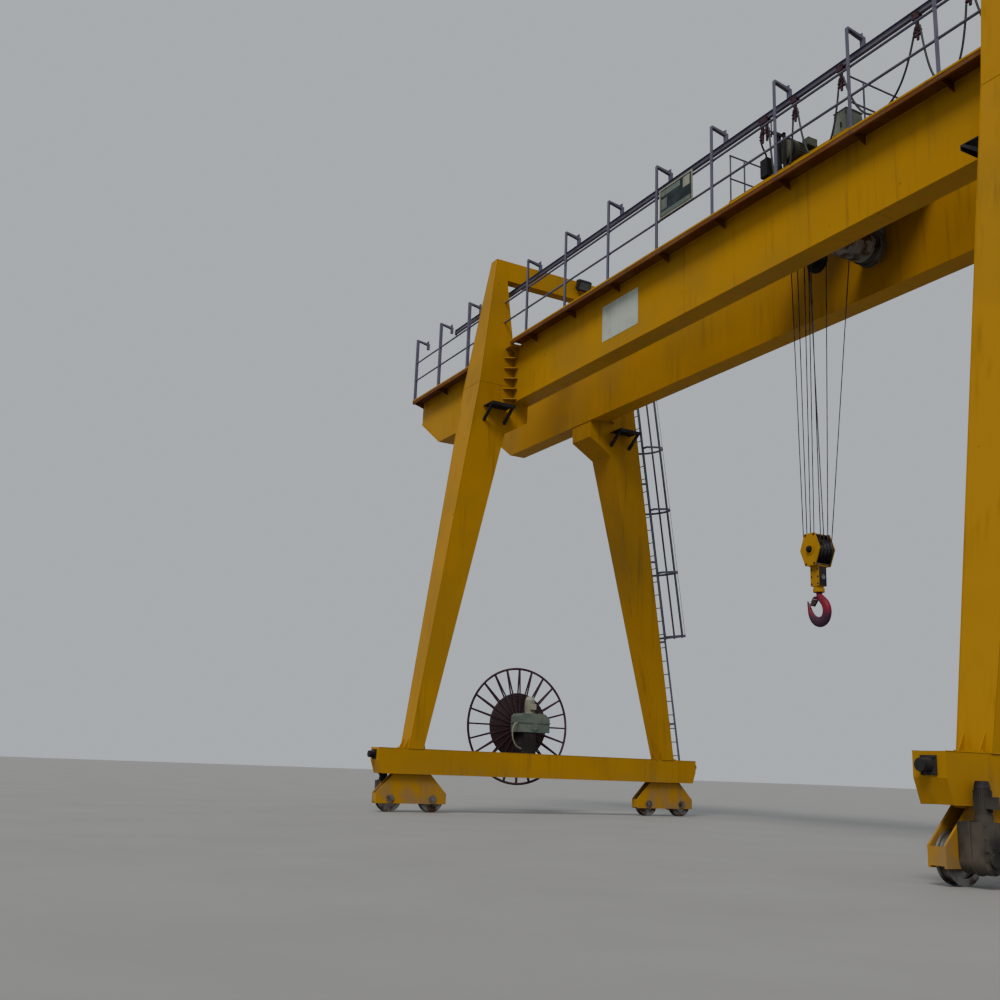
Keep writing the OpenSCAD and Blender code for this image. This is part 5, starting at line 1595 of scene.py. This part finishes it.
@dataclass
class ReelTrim:
    """Wound cable, rivets and hub bolts of the reel, and its gearbox and motor."""

    shop: Workshop
    x: float = -7.270
    y: float = -0.240
    z: float = 1.790
    half: float = 0.045
    rim: float = 1.214
    coil: Pair = (0.120, 0.690)
    turns: int = 16
    spokes: int = 24
    box_x: Pair = (-7.155, -6.728)

    def build(self) -> None:
        """Builds the turning and the standing pieces."""
        self.wheel()
        self.wound()
        self.bolts()
        self.gearbox()
        self.motor()

    def wound(self) -> None:
        """Spiral of cable between the reel's two sides."""
        inner, outer = self.coil
        pitch, half = (outer - inner) / self.turns, self.half - 0.008
        crown = [(0.0, 0.010), (0.18, 0.003), (0.5, 0.0), (0.82, 0.003), (1.0, 0.010)]
        face = [(inner + (i + t) * pitch, half - dip) for i in range(self.turns) for t, dip in crown[:-1]]
        face.append((outer, half - 0.010))
        profile = [(r, -h) for r, h in face] + [(outer + 0.008, 0.0)] + [(r, h) for r, h in reversed(face)]
        s = Solid().lathe([*profile, profile[0]], facing((self.x, self.y, self.z), (1, 0, 0)), 96)
        self.shop.piece("wound_cable", s, Body.REEL, Slot.CABLE, 50, COIL_FINISH.make("wound_sheath"), ["reel_cable"])

    def wheel(self) -> None:
        """Hub, flat spokes that close in towards the rim, and the round rim."""
        s, centre = Solid(), Vector((self.x, self.y, self.z))
        hub = self.half + 0.060
        s.ring((self.x - hub, self.y, self.z), (1, 0, 0), 0.042, 0.120, 2 * hub, 48)
        for i in range(self.spokes):
            a = math.tau * i / self.spokes
            out, across = Vector((0, math.cos(a), math.sin(a))), Vector((0, -math.sin(a), math.cos(a)))
            bends = ((0.105, self.half + 0.001), (self.coil[1] + 0.03, self.half + 0.001), (self.rim + 0.004, 0.013))
            for side in SIDES:
                bar = [Vector((side * dx, 0, 0)) + out * r for r, dx in bends]
                s.sweep([tuple(centre + p) for p in bar],
                        lambda t: [(-0.017, -0.005), (0.017, -0.005), (0.017, 0.005), (-0.017, 0.005)], tuple(across))
        rim = [(self.rim + 0.026 * math.cos(a), 0.026 * math.sin(a)) for a in (-math.tau * i / 12 for i in range(13))]
        s.lathe(rim, facing(tuple(centre), (1, 0, 0)), 96)
        self.shop.piece("reel_spokes", s, Body.REEL, Slot.RUST, 40, stands_for=["reel_wheel"])

    def bolts(self) -> None:
        """Rivets where the spokes leave the wound cable, and bolts round the hub."""
        rivets, heads = [], []
        for side in SIDES:
            face = (self.x + side * (self.half + 0.005), self.y, self.z)
            rivets += ring_of(face, (side, 0, 0), self.coil[1] + 0.012, self.spokes, 0.010)
            heads += ring_of((self.x + side * (self.half + 0.060), self.y, self.z), (side, 0, 0), 0.090, 8, 0.011)
        self.shop.put(Body.REEL, rivets, Slot.RUST, "rivets")
        self.shop.put(Body.REEL, heads, Slot.RUST)

    def gearbox(self) -> None:
        """Split flange, covers and bolts of the gear case."""
        s, bolts = Solid(), []
        (x0, x1), y0, y1 = self.box_x, self.y - 0.240, self.y + 0.470
        split = self.z + 0.06
        s.box((x0 - 0.014, y0 - 0.014, split - 0.010), (x1 + 0.014, y1 + 0.014, split + 0.010))
        for y in spread(y0 + 0.05, y1 - 0.05, 0.12):
            bolts += [Place((x, y, split + 0.010), (0, 0, 1), 0.007) for x in (x0 - 0.005, x1 + 0.005)]
        bolts += bolted_cover(s, (x1, self.y + 0.10, self.z - 0.02), (1, 0, 0), 0.085, 0.016, 0.068, 0.008)
        s.box((x0 + 0.06, self.y + 0.235, self.z + 0.248), (x1 - 0.06, self.y + 0.345, self.z + 0.262))
        bolts += [Place((x, y, self.z + 0.262), (0, 0, 1), 0.006)
                  for x in (x0 + 0.08, x1 - 0.08) for y in (self.y + 0.255, self.y + 0.325)]
        self.shop.piece("reel_gearbox_covers", s, Body.GANTRY, Slot.TEAL)
        x = x1 - 0.12
        route = bend([(x, y0 - 0.012, self.z + 0.03), (x, y0 - 0.080, self.z + 0.02), (x, y0 - 0.130, self.z - 0.12),
                      (x, y0 - 0.110, self.z - 0.30), (x, y0 - 0.020, self.z - 0.44),
                      (x, self.y - 0.135, self.z - 0.49)], 36)
        self.shop.piece("reel_lead", Solid().tube(route, 0.016, 10), Body.GANTRY, Slot.BEIGE, 60)
        self.shop.put(Body.GANTRY, bolts, Slot.TEAL)

    def motor(self) -> None:
        """Fins, terminal box and cowl grille of the reel's motor."""
        s = Solid()
        x, y, z = sum(self.box_x) / 2, self.y + 0.090, self.z + 0.250
        s.fins((x, y, z + 0.040), (0, 0, 1), 0.095, 0.111, 0.235, 26)
        s.box((x + 0.080, y - 0.055, z + 0.09), (x + 0.165, y + 0.055, z + 0.20))
        s.box((x + 0.165, y - 0.060, z + 0.085), (x + 0.171, y + 0.060, z + 0.205))
        s.grille((x, y, z + 0.360), (0, 0, 1), (0.022, 0.042, 0.062), 0.006)
        self.shop.piece("reel_motor_covers", s, Body.GANTRY, Slot.BEIGE)
        self.shop.put(Body.GANTRY, ring_of((x, y, z + 0.026), (0, 0, 1), 0.108, 8, 0.007), Slot.BEIGE)


@dataclass
class TrolleyTrim:
    """Covers, fins, doors, cables and bolts of the trolley and its machinery."""

    shop: Workshop
    deck: float = 10.288
    plate: float = 10.298
    low: float = 10.008
    ends: Pair = (0.720, 3.420)
    sill_y: Pair = (0.924, 1.114)
    wheels: Pair = (0.952, 3.188)
    wheel_z: float = 10.105
    drum: Pair = (2.150, 9.300)
    drum_r: float = 0.270
    rope_r: float = 0.009
    rope_sunk: float = 0.0035
    rope_turns: int = 4
    rope_start: float = 0.440
    rope_pitch: float = 0.0255
    motor: Pair = (1.870, 10.728)
    motor_y: Pair = (-0.930, -0.330)
    cabinet: tuple[float, float, float, float] = (2.890, 3.135, -0.880, -0.550)
    cabinet_rise: float = 0.550
    box_x: float = 1.520
    parts: dict[Slot, Solid] = field(default_factory=lambda: {slot: Solid() for slot in Slot})

    def build(self) -> None:
        """Builds the pieces, one for each finish, and sets the bolts out."""
        for step in (self.sills, self.hoist_motor, self.brake, self.gearbox, self.cabinet_doors, self.junction,
                     self.drive, self.handrails, self.drum_ropes, self.cables):
            step()
        names = {Slot.YELLOW: "trolley_seams", Slot.STEEL: "trolley_covers", Slot.GREEN: "hoist_motor_covers",
                 Slot.DARK: "trolley_fittings", Slot.TEAL: "gear_case_covers", Slot.RAIL: "handrail_fittings",
                 Slot.CABLE: "trolley_cables"}
        for slot, name in names.items():
            self.shop.piece(name, self.parts[slot], Body.TROLLEY, slot)

    def bolts(self, places: Iterable[Place], slot: Slot) -> None:
        """Keeps bolts of the trolley for the set-out."""
        self.shop.put(Body.TROLLEY, places, slot)

    def sills(self) -> None:
        """Bearing covers, rubber bumpers and seams of the side sills."""
        inner, outer = self.sill_y
        for side in SIDES:
            for x in self.wheels:
                for y, out in ((side * outer, side), (side * inner, -side)):
                    self.bolts(bolted_cover(self.parts[Slot.STEEL], (x, y, self.wheel_z), (0, out, 0), 0.078, 0.015,
                                            0.060, 0.008, 32), Slot.STEEL)
            for x, e in zip(self.ends, SIDES):
                y = side * (inner + outer) / 2
                self.parts[Slot.YELLOW].box((x, y - 0.075, 10.070), (x + e * 0.010, y + 0.075, 10.230))
                self.parts[Slot.DARK].rod((x + e * 0.010, y, 10.150), (x + e * 0.075, y, 10.150), 0.048, 24, 0.040)
                self.bolts([Place((x + e * 0.010, y + dy, z), (e, 0, 0), 0.009)
                            for dy in (-0.058, 0.058) for z in (10.087, 10.213)], Slot.YELLOW)
            for y in (side * inner, side * outer):
                self.parts[Slot.YELLOW].rod((self.ends[0], y, self.low), (self.ends[1], y, self.low), 0.004, 6)
            for x in (1.30, 2.60):
                y0, y1 = side * inner, side * outer
                self.parts[Slot.YELLOW].box((x, y0 - side * 0.003, self.low), (x + 0.012, y1 + side * 0.003, self.deck))
        hanger = [Place((self.drum[0] + dx, -0.794, z), (0, -1, 0), 0.014) for dx in (-0.078, 0.078)
                  for z in (9.60, 9.80, 10.05, 10.20)]
        self.bolts(hanger + ring_of((self.drum[0], -0.794, self.drum[1]), (0, -1, 0), 0.100, 8, 0.012), Slot.YELLOW)

    def hoist_motor(self) -> None:
        """End cap and grille rings in a lighter olive that is painted light for their lit face, lid, eye bolt and bed
        of the hoist motor.
        """
        (x, z), (y0, y1), green = self.motor, self.motor_y, self.parts[Slot.GREEN]
        self.parts[Slot.DARK].ring((x, y0 + 0.030, z), (0, -1, 0), 0.180, 0.209, 0.038, 40)
        # The end cap and its grille rings are drawn in a lighter olive, which is painted light for the lit end face.
        dome, face = [(0.186, -0.004), (0.182, 0.010), (0.150, 0.026), (0.095, 0.036), (0.0, 0.040)], Solid()
        face.lathe(dome, facing((x, y0, z), (0, -1, 0)), 48)
        for r, h in ((0.060, 0.038), (0.095, 0.035), (0.130, 0.029), (0.160, 0.020)):
            face.ring((x, y0 - h + 0.003, z), (0, -1, 0), r - 0.007, r, 0.007, 40)
        face.rod((x, y0 - 0.036, z), (x, y0 - 0.046, z), 0.024, 20)
        self.shop.piece("hoist_motor_face", face, Body.TROLLEY, Slot.GREEN, 40, LIT_OLIVE_FINISH.make("olive_painted_light"))
        self.bolts(ring_of((x, y1 - 0.030, z), (0, -1, 0), 0.204, 8, 0.010, 22.5), Slot.GREEN)
        self.bolts(ring_of((x, y0 + 0.065, z), (0, -1, 0), 0.210, 4, 0.006, 45), Slot.GREEN)
        green.box((x + 0.275, -0.695, z + 0.055), (x + 0.283, -0.495, z + 0.195))
        self.bolts([Place((x + 0.283, y, z + dz), (1, 0, 0), 0.006) for y in (-0.68, -0.51) for dz in (0.07, 0.18)],
                   Slot.GREEN)
        green.eye((x, -0.62, z + 0.226), 0.026, 0.007, 16, 8)
        self.parts[Slot.YELLOW].box((x - 0.185, -0.80, self.plate), (x + 0.185, -0.345, self.plate + 0.014))
        self.bolts([Place((x + dx, y, self.plate + 0.014), (0, 0, 1), 0.013) for dx in (-0.168, 0.168)
                    for y in (-0.76, -0.57, -0.38)], Slot.DARK)

    def brake(self) -> None:
        """Spring rod and pins of the drum brake, and the bolts of its coupling."""
        (x, z), dark = self.motor, self.parts[Slot.DARK]
        dark.rod((x - 0.225, -0.035, z + 0.135), (x + 0.225, -0.035, z + 0.135), 0.010, 10)
        for e in SIDES:
            dark.rod((x + e * 0.145, -0.035, z + 0.135), (x + e * 0.128, -0.035, z + 0.135), 0.024, 16)
            pins = [Place((x + e * 0.168, -0.075, h), (0, -1, 0), 0.014)
                    for h in (z + 0.19, z - 0.01, self.plate + 0.06)]
            self.bolts([*pins, Place((x + e * 0.225, -0.035, z + 0.135), (e, 0, 0), 0.015)], Slot.DARK)
        self.bolts(ring_of((x, -0.090, z), (0, -1, 0), 0.095, 6, 0.012), Slot.DARK)

    def gearbox(self) -> None:
        """Split flange, bearing covers, ribs and eye bolts of the hoist gear case."""
        teal, (x, z) = self.parts[Slot.TEAL], self.motor
        x0, x1, y0, y1, split = 1.670, 2.450, 0.430, 0.900, 10.600
        teal.box((x0 - 0.016, y0 - 0.016, split - 0.011), (x1 + 0.016, y1 + 0.012, split + 0.011))
        spots = [(u, y0 - 0.006) for u in spread(x0 + 0.03, x1 - 0.03, 0.12)]
        spots += [(u, v) for u in (x0 - 0.006, x1 + 0.006) for v in spread(y0 + 0.06, y1 - 0.05, 0.12)]
        self.bolts([Place((u, v, split + 0.011), (0, 0, 1), 0.009) for u, v in spots], Slot.TEAL)
        for cx, cz, r in ((x, z, 0.085), (2.080, 10.500, 0.100), (2.280, 10.480, 0.080)):
            for y, out in ((y0, -1), (y1, 1)):
                self.bolts(bolted_cover(teal, (cx, y, cz), (0, out, 0), r, 0.016, r * 0.82, 0.008), Slot.TEAL)
        for u in (1.760, 2.180, 2.390):
            for y, out in ((y0, -1), (y1, 1)):
                teal.box((u - 0.006, y, self.plate), (u + 0.006, y + out * 0.014, split))
        teal.rod((1.74, 0.66, 10.950), (1.74, 0.66, 11.020), 0.018, 12)
        teal.rod((1.74, 0.66, 11.020), (1.74, 0.66, 11.045), 0.028, 12)
        self.bolts([Place((u, y1 - 0.035, self.plate + 0.002), (0, 0, 1), 0.012) for u in (1.64, 2.48)], Slot.TEAL)

    def cabinet_doors(self) -> None:
        """Low control cabinet with its roof, door leaves, vents, hinges, handles and lifting eyes."""
        s, dark = Solid(), self.parts[Slot.DARK]
        x0, x1, y0, y1 = self.cabinet
        base, high, mid = self.plate, self.plate + self.cabinet_rise - 0.016, (x0 + x1) / 2
        s.prism([(x0 - 0.09, base), (x1, base), (x1, high), (x0, high), (x0 - 0.05, base + 0.14)], y0, y1, Axis.Y)
        s.prism([(y0 - 0.018, high), (y1 + 0.018, high), (y1 + 0.018, high + 0.006), ((y0 + y1) / 2, high + 0.016),
                 (y0 - 0.018, high + 0.006)], x0 - 0.016, x1 + 0.016, Axis.X)
        for y, out in ((y0, -1), (y1, 1)):
            for a, b in ((x0 + 0.010, mid - 0.003), (mid + 0.003, x1 - 0.010)):
                s.box((a, y, base + 0.05), (b, y + out * 0.009, high - 0.02))
                for i in range(5):
                    z = base + 0.10 + i * 0.020
                    s.prism([(y + out * 0.009, z), (y + out * 0.017, z - 0.009), (y + out * 0.009, z - 0.011)],
                            a + 0.022, b - 0.022, Axis.X)
            for x in (x0 + 0.008, x1 - 0.008):
                for z in (base + 0.10, high - 0.07):
                    dark.rod((x, y + out * 0.008, z - 0.022), (x, y + out * 0.008, z + 0.022), 0.007, 10)
            dark.box((mid + 0.010, y + out * 0.009, base + 0.25), (mid + 0.028, y + out * 0.024, base + 0.33))
        for x in (x0 + 0.05, x1 - 0.05):
            for y in (y0 + 0.05, y1 - 0.05):
                dark.eye((x, y, high + 0.026), 0.016, 0.0045, 12, 6)
        self.shop.piece("low_cabinet", s, Body.TROLLEY, Slot.TEAL, 35, CABINET_FINISH.make("cabinet_paint"),
                        ["control_cabinet"])

    def junction(self) -> None:
        """Lid, screws and glands of the junction box, and the bolts of the towing post."""
        dark, x = self.parts[Slot.DARK], self.box_x
        dark.box((x - 0.078, -1.060, 10.398), (x + 0.078, -1.067, 10.698))
        self.bolts([Place((x + dx, -1.067, z), (0, -1, 0), 0.005) for dx in (-0.066, 0.066) for z in (10.412, 10.684)],
                   Slot.DARK)
        for dx in (-0.045, 0.045):
            dark.rod((x + dx, -1.000, 10.389), (x + dx, -1.000, 10.360), 0.019, 12)
        self.bolts([Place((1.875, y, z), (1, 0, 0), 0.009) for y in (-1.048, -1.022) for z in (10.33, 10.40)],
                   Slot.DARK)
        dark.box((1.795, -1.080, self.deck), (2.010, -0.990, self.deck + 0.010))
        dark.box((1.950, -1.055, self.deck + 0.010), (1.990, -1.015, 10.960))
        dark.box((1.874, -1.055, 10.925), (1.990, -1.015, 10.960))
        self.bolts([Place((RopeFalls.hook_x, side * 0.254, RopeFalls.high), (0, side, 0), 0.030) for side in SIDES],
                   Slot.DARK)

    def drive(self) -> None:
        """Fins, terminal box, covers and bolts of the trolley's travel drive."""
        teal, x, z = self.parts[Slot.TEAL], self.wheels[0], 10.428
        teal.fins((x, -0.165, z), (0, 1, 0), 0.095, 0.109, 0.33, 24)
        teal.box((x - 0.055, -0.070, z + 0.090), (x + 0.055, 0.060, z + 0.165))
        teal.box((x - 0.060, -0.075, z + 0.165), (x + 0.060, 0.065, z + 0.172))
        for y, out in ((0.180, -1), (0.420, 1)):
            self.bolts(ring_of((x, y, z), (0, out, 0), 0.104, 6, 0.007, 30), Slot.TEAL)
        teal.rod((x, 0.420, z), (x, 0.434, z), 0.070, 24)
        teal.grille((x, -0.240, z), (0, -1, 0), (0.026, 0.048, 0.070), 0.007)

    def handrails(self) -> None:
        """Round feet and elbows of the rails across the trolley's ends."""
        rail, y = self.parts[Slot.RAIL], 1.089
        ball = [(0, -0.018), (0.013, -0.0128), (0.0185, 0), (0.013, 0.0128), (0, 0.018)]
        for x in (self.ends[0] + 0.025, self.ends[1] - 0.025):
            for py in (-y, -y + 0.31, 0.0, y - 0.31, y):
                base = self.deck if abs(py) > self.sill_y[0] else self.plate
                side = 0.018 if x > 2 else -0.018
                rail.rod((x, py, base), (x, py, base + 0.008), 0.024, 20)
                if abs(py) < y:
                    self.bolts([Place((x + side * 1.8, py, base), (0, 0, 1), 0.006)], Slot.RAIL)
                for h in (0.43, 0.86):
                    rail.lathe(ball, Matrix.Translation((x, py, self.deck + h)), 16)

    def drum_ropes(self) -> None:
        """Turns of rope on both ends of the drum, and the bolts of its flanges."""
        s, (x, z) = Solid(), self.drum
        r, steps = self.drum_r - self.rope_sunk + self.rope_r, 28
        for side in SIDES:
            line = []
            for t in (i / steps for i in range(self.rope_turns * steps + 1)):
                y, a = self.rope_start + self.rope_pitch * t, math.tau * t
                line.append((x - r * math.cos(a), side * y, z + r * math.sin(a)))
            s.tube(line, self.rope_r, 8)
            face = (x, side * 0.645, z)
            self.bolts(ring_of(face, (0, side, 0), 0.270, 12, 0.012), Slot.STEEL)
            self.parts[Slot.STEEL].ring(face, (0, side, 0), 0.10, 0.135, 0.012, 36)
        self.shop.piece("drum_ropes", s, Body.TROLLEY, Slot.ROPE, 60)

    def cables(self) -> None:
        """Cables across the deck between the junction box, the cabinet and the motors."""
        s, z = self.parts[Slot.CABLE], self.plate + 0.013
        for i, dx in enumerate((-0.045, 0.045)):
            y = -0.905 + i * 0.035
            s.tube(bend([(self.box_x + dx, -1.000, 10.362), (self.box_x + dx + 0.02, -0.975, 10.320),
                         (self.box_x + 0.14, y, z), (self.box_x + 0.5, y, z), (2.5, y, z), (2.80, y + 0.03, z),
                         (2.885, y + 0.09, z + 0.03)], 36), 0.011, 8)
        x = self.motor[0]
        s.tube(bend([(x + 0.20, -0.595, self.motor[1] + 0.062), (x + 0.205, -0.60, 10.60), (x + 0.26, -0.62, 10.36),
                     (x + 0.45, -0.63, z), (2.60, -0.66, z), (2.83, -0.68, z + 0.02)], 30), 0.011, 8)
        s.tube(bend([(self.wheels[0] + 0.05, -0.01, 10.56), (1.06, -0.02, 10.54), (1.12, -0.10, 10.36),
                     (1.20, -0.40, z), (1.35, -0.80, z), (1.60, -0.84, z), (2.4, -0.845, z), (2.84, -0.80, z + 0.02)],
                    40), 0.009, 8)


@dataclass
class BlockTrim:
    """Rounded hook, and the pins, nuts and plates of the hook block, with dark plates that are painted shade on the
    cheeks' inner faces and on the stem's sides.
    """

    shop: Workshop
    x: float = 1.390
    face: float = 0.165
    sheave_z: float = 4.355
    low: float = 3.760
    tie: Pair = (0.086, 0.228)
    latch_pin: Pair = (-0.062, 3.617)
    bowl: tuple[tuple[float, float, float, float], ...] = (
        (0.000, 3.735, 0.040, 0.040), (0.000, 3.690, 0.043, 0.043), (0.016, 3.640, 0.051, 0.048),
        (0.060, 3.588, 0.060, 0.052), (0.112, 3.532, 0.067, 0.055), (0.147, 3.466, 0.073, 0.056),
        (0.157, 3.394, 0.077, 0.057), (0.138, 3.318, 0.080, 0.057), (0.088, 3.262, 0.082, 0.056),
        (0.016, 3.243, 0.082, 0.054), (-0.058, 3.258, 0.076, 0.051), (-0.122, 3.302, 0.065, 0.047),
        (-0.168, 3.364, 0.052, 0.041), (-0.194, 3.432, 0.039, 0.034), (-0.211, 3.494, 0.029, 0.027),
        (-0.227, 3.546, 0.020, 0.019), (-0.240, 3.588, 0.009, 0.009))

    def build(self) -> None:
        """Builds the hook and the block's fittings."""
        self.hook()
        yellow, steel, dark, bolts = Solid(), Solid(), Solid(), []
        tie_x, tie_z = self.tie
        hexagon = [(0.207, 0), (0.103, 0.252), (-0.103, 0.252), (-0.207, 0), (-0.103, -0.252), (0.103, -0.252)]
        for side in SIDES:
            y = side * self.face
            # Dark hexagons on the cheeks' inner faces: painted shade, where shade falls between the cheeks.
            dark.prism([(self.x + dx, self.sheave_z + dz) for dx, dz in hexagon], side * 0.1450, side * 0.1475, Axis.Y)
            # Dark plates on both sides of the stem: painted shade for the stem's shaded side.
            dark.box((self.x + side * 0.0895, -0.074, 3.795), (self.x + side * 0.0940, 0.074, 4.095))
            yellow.rod((self.x, y, self.sheave_z), (self.x, y + side * 0.010, self.sheave_z), 0.088, 32)
            bolts.append(Place((self.x, y + side * 0.010, self.sheave_z), (0, side, 0), 0.046))
            bolts += [Place((self.x + dx * tie_x, y, self.sheave_z + dz * tie_z), (0, side, 0), 0.015)
                      for dx, dz in CORNERS]
            bolts += [Place((self.x + dx, side * 0.080, z), (0, side, 0), 0.012) for dx in (-0.066, 0.066)
                      for z in (3.825, 3.935, 4.050)]
            steel.rod((self.x + side * 0.090, 0, 3.930), (self.x + side * 0.104, 0, 3.930), 0.040, 24)
        for dx, dz in CORNERS:
            x, z = self.x + dx * tie_x, self.sheave_z + dz * tie_z
            steel.rod((x, -0.150, z), (x, 0.150, z), 0.012, 12)
        yellow.lathe([(0.0605, 0), (0.084, 0), (0.088, 0.005), (0.088, 0.064), (0.0605, 0.064), (0.0605, 0)],
                     Matrix.Translation((self.x, 0, self.low - 0.062)), 40)
        self.shop.piece("block_covers", yellow, Body.BLOCK, Slot.YELLOW)
        self.shop.piece("block_liners", dark, Body.BLOCK, Slot.DARK)
        self.shop.piece("block_spacers", steel, Body.BLOCK, Slot.STEEL)
        self.shop.put(Body.BLOCK, bolts, Slot.DARK)

    def hook(self) -> None:
        """Forged hook with a rounded, tapering section, its collar and the lug of its latch."""
        steps = 90
        path = bend([(self.x + dx, 0, z) for dx, z, _, _ in self.bowl], steps)
        sizes = bend([(deep, thick, 0) for _, _, deep, thick in self.bowl], steps)

        def section(t: float) -> list[Pair]:
            """Outline of the hook at a share of its length, across its thickness and then its depth."""
            deep, thick, _ = sizes[round(t * steps)]
            return [(thick * math.cos(a), deep * math.sin(a)) for a in (math.tau * i / 28 for i in range(28))]

        s = Solid().sweep(path, section, (0, 1, 0))
        collar = [(0, -0.001), (0.050, 0.0), (0.058, 0.008), (0.058, 0.044), (0.050, 0.052), (0.038, 0.052),
                  (0.038, 0.198), (0, 0.198)]
        s.lathe(collar, Matrix.Translation((self.x, 0, self.low - 0.060)), 36)
        px, pz = self.x + self.latch_pin[0], self.latch_pin[1]
        s.rod((px, -0.046, pz), (px, 0.046, pz), 0.022, 24)
        s.prism([(px, pz - 0.021), (self.x, pz - 0.021), (self.x, pz + 0.030), (px, pz + 0.0215)], -0.030, 0.030,
                Axis.Y)
        self.shop.piece("forged_hook", s, Body.HOOK, Slot.RED, 50, HOOK_FINISH.make("worn_red_paint"), ["hook"])


def add_lights() -> None:
    """Soft daylight: a pale sky and one wide sun, high on the camera's side."""
    world = bpy.data.worlds.new("studio")
    bpy.context.scene.world = world
    world.use_nodes = True
    sky = world.node_tree.nodes["Background"]
    sky.inputs["Color"].default_value = (0.80, 0.86, 0.93, 1)
    sky.inputs["Strength"].default_value = 0.60
    sun = bpy.data.lights.new("sun", "SUN")
    sun.energy, sun.angle, sun.color = 2.0, math.radians(22), (1.0, 0.96, 0.90)
    show("sun", sun).rotation_euler = Vector((0.55, -0.75, 1.0)).to_track_quat("Z", "Y").to_euler()


def add_floor() -> None:
    """Plain pale floor, which isn't part of the crane."""
    half, depth = 140.0, 0.02
    s = Solid().box((-half, -half, -depth), (half, half, -0.0005))
    floor = show("floor", s.mesh("floor", 30))
    shade = Shader("pale_floor")
    colour = shade.mix(shade.noise(0.6, 5.0), (0.24, 0.235, 0.22), (0.30, 0.295, 0.28))
    shade.finish(colour, 0.8 + 0.1 * shade.noise(4.0), shade.noise(20.0), 0.001)
    floor.data.materials.append(shade.material)


@dataclass(frozen=True)
class Viewpoint:
    """Camera of the photograph: its place, turn and lens."""

    at: Point = (13.751, -12.470, 0.9)
    yaw: float = 61.148
    pitch: float = 13.588
    roll: float = 2.157
    focal_px: float = 1106.844
    width_px: float = 1000.0
    sensor: float = 36.0

    def make(self) -> None:
        """Makes the scene's camera."""
        a, b, r = (math.radians(v) for v in (self.yaw, self.pitch, self.roll))
        ahead = Vector((-math.sin(a) * math.cos(b), math.cos(a) * math.cos(b), math.sin(b)))
        right = Vector((math.cos(a), math.sin(a), 0.0))
        up = right.cross(ahead)
        across = right * math.cos(r) + up * math.sin(r)
        rise = up * math.cos(r) - right * math.sin(r)
        lens = bpy.data.cameras.new("camera")
        lens.sensor_width = self.sensor
        lens.lens = self.focal_px * self.sensor / self.width_px
        lens.clip_end = 500.0
        camera = show("camera", lens)
        camera.matrix_world = (Matrix.Translation(self.at)
                               @ Matrix((across, rise, -ahead)).transposed().to_4x4())
        bpy.context.scene.camera = camera


def main() -> None:
    """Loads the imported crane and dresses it."""
    logging.basicConfig(level=logging.INFO, format="%(name)s: %(message)s")
    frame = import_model()
    Viewpoint().make()
    shop = Workshop(frame)
    FestoonLine(shop).build()
    RopeFalls(shop).build()
    for trim in (GirderTrim, WalkwayTrim, LegTrim, FloodLamps, GroundTrim, LadderTrim, ReelTrim, TrolleyTrim,
                 BlockTrim):
        trim(shop).build()
    shop.lay_out()
    add_lights()
    add_floor()


if __name__ == "__main__":
    main()
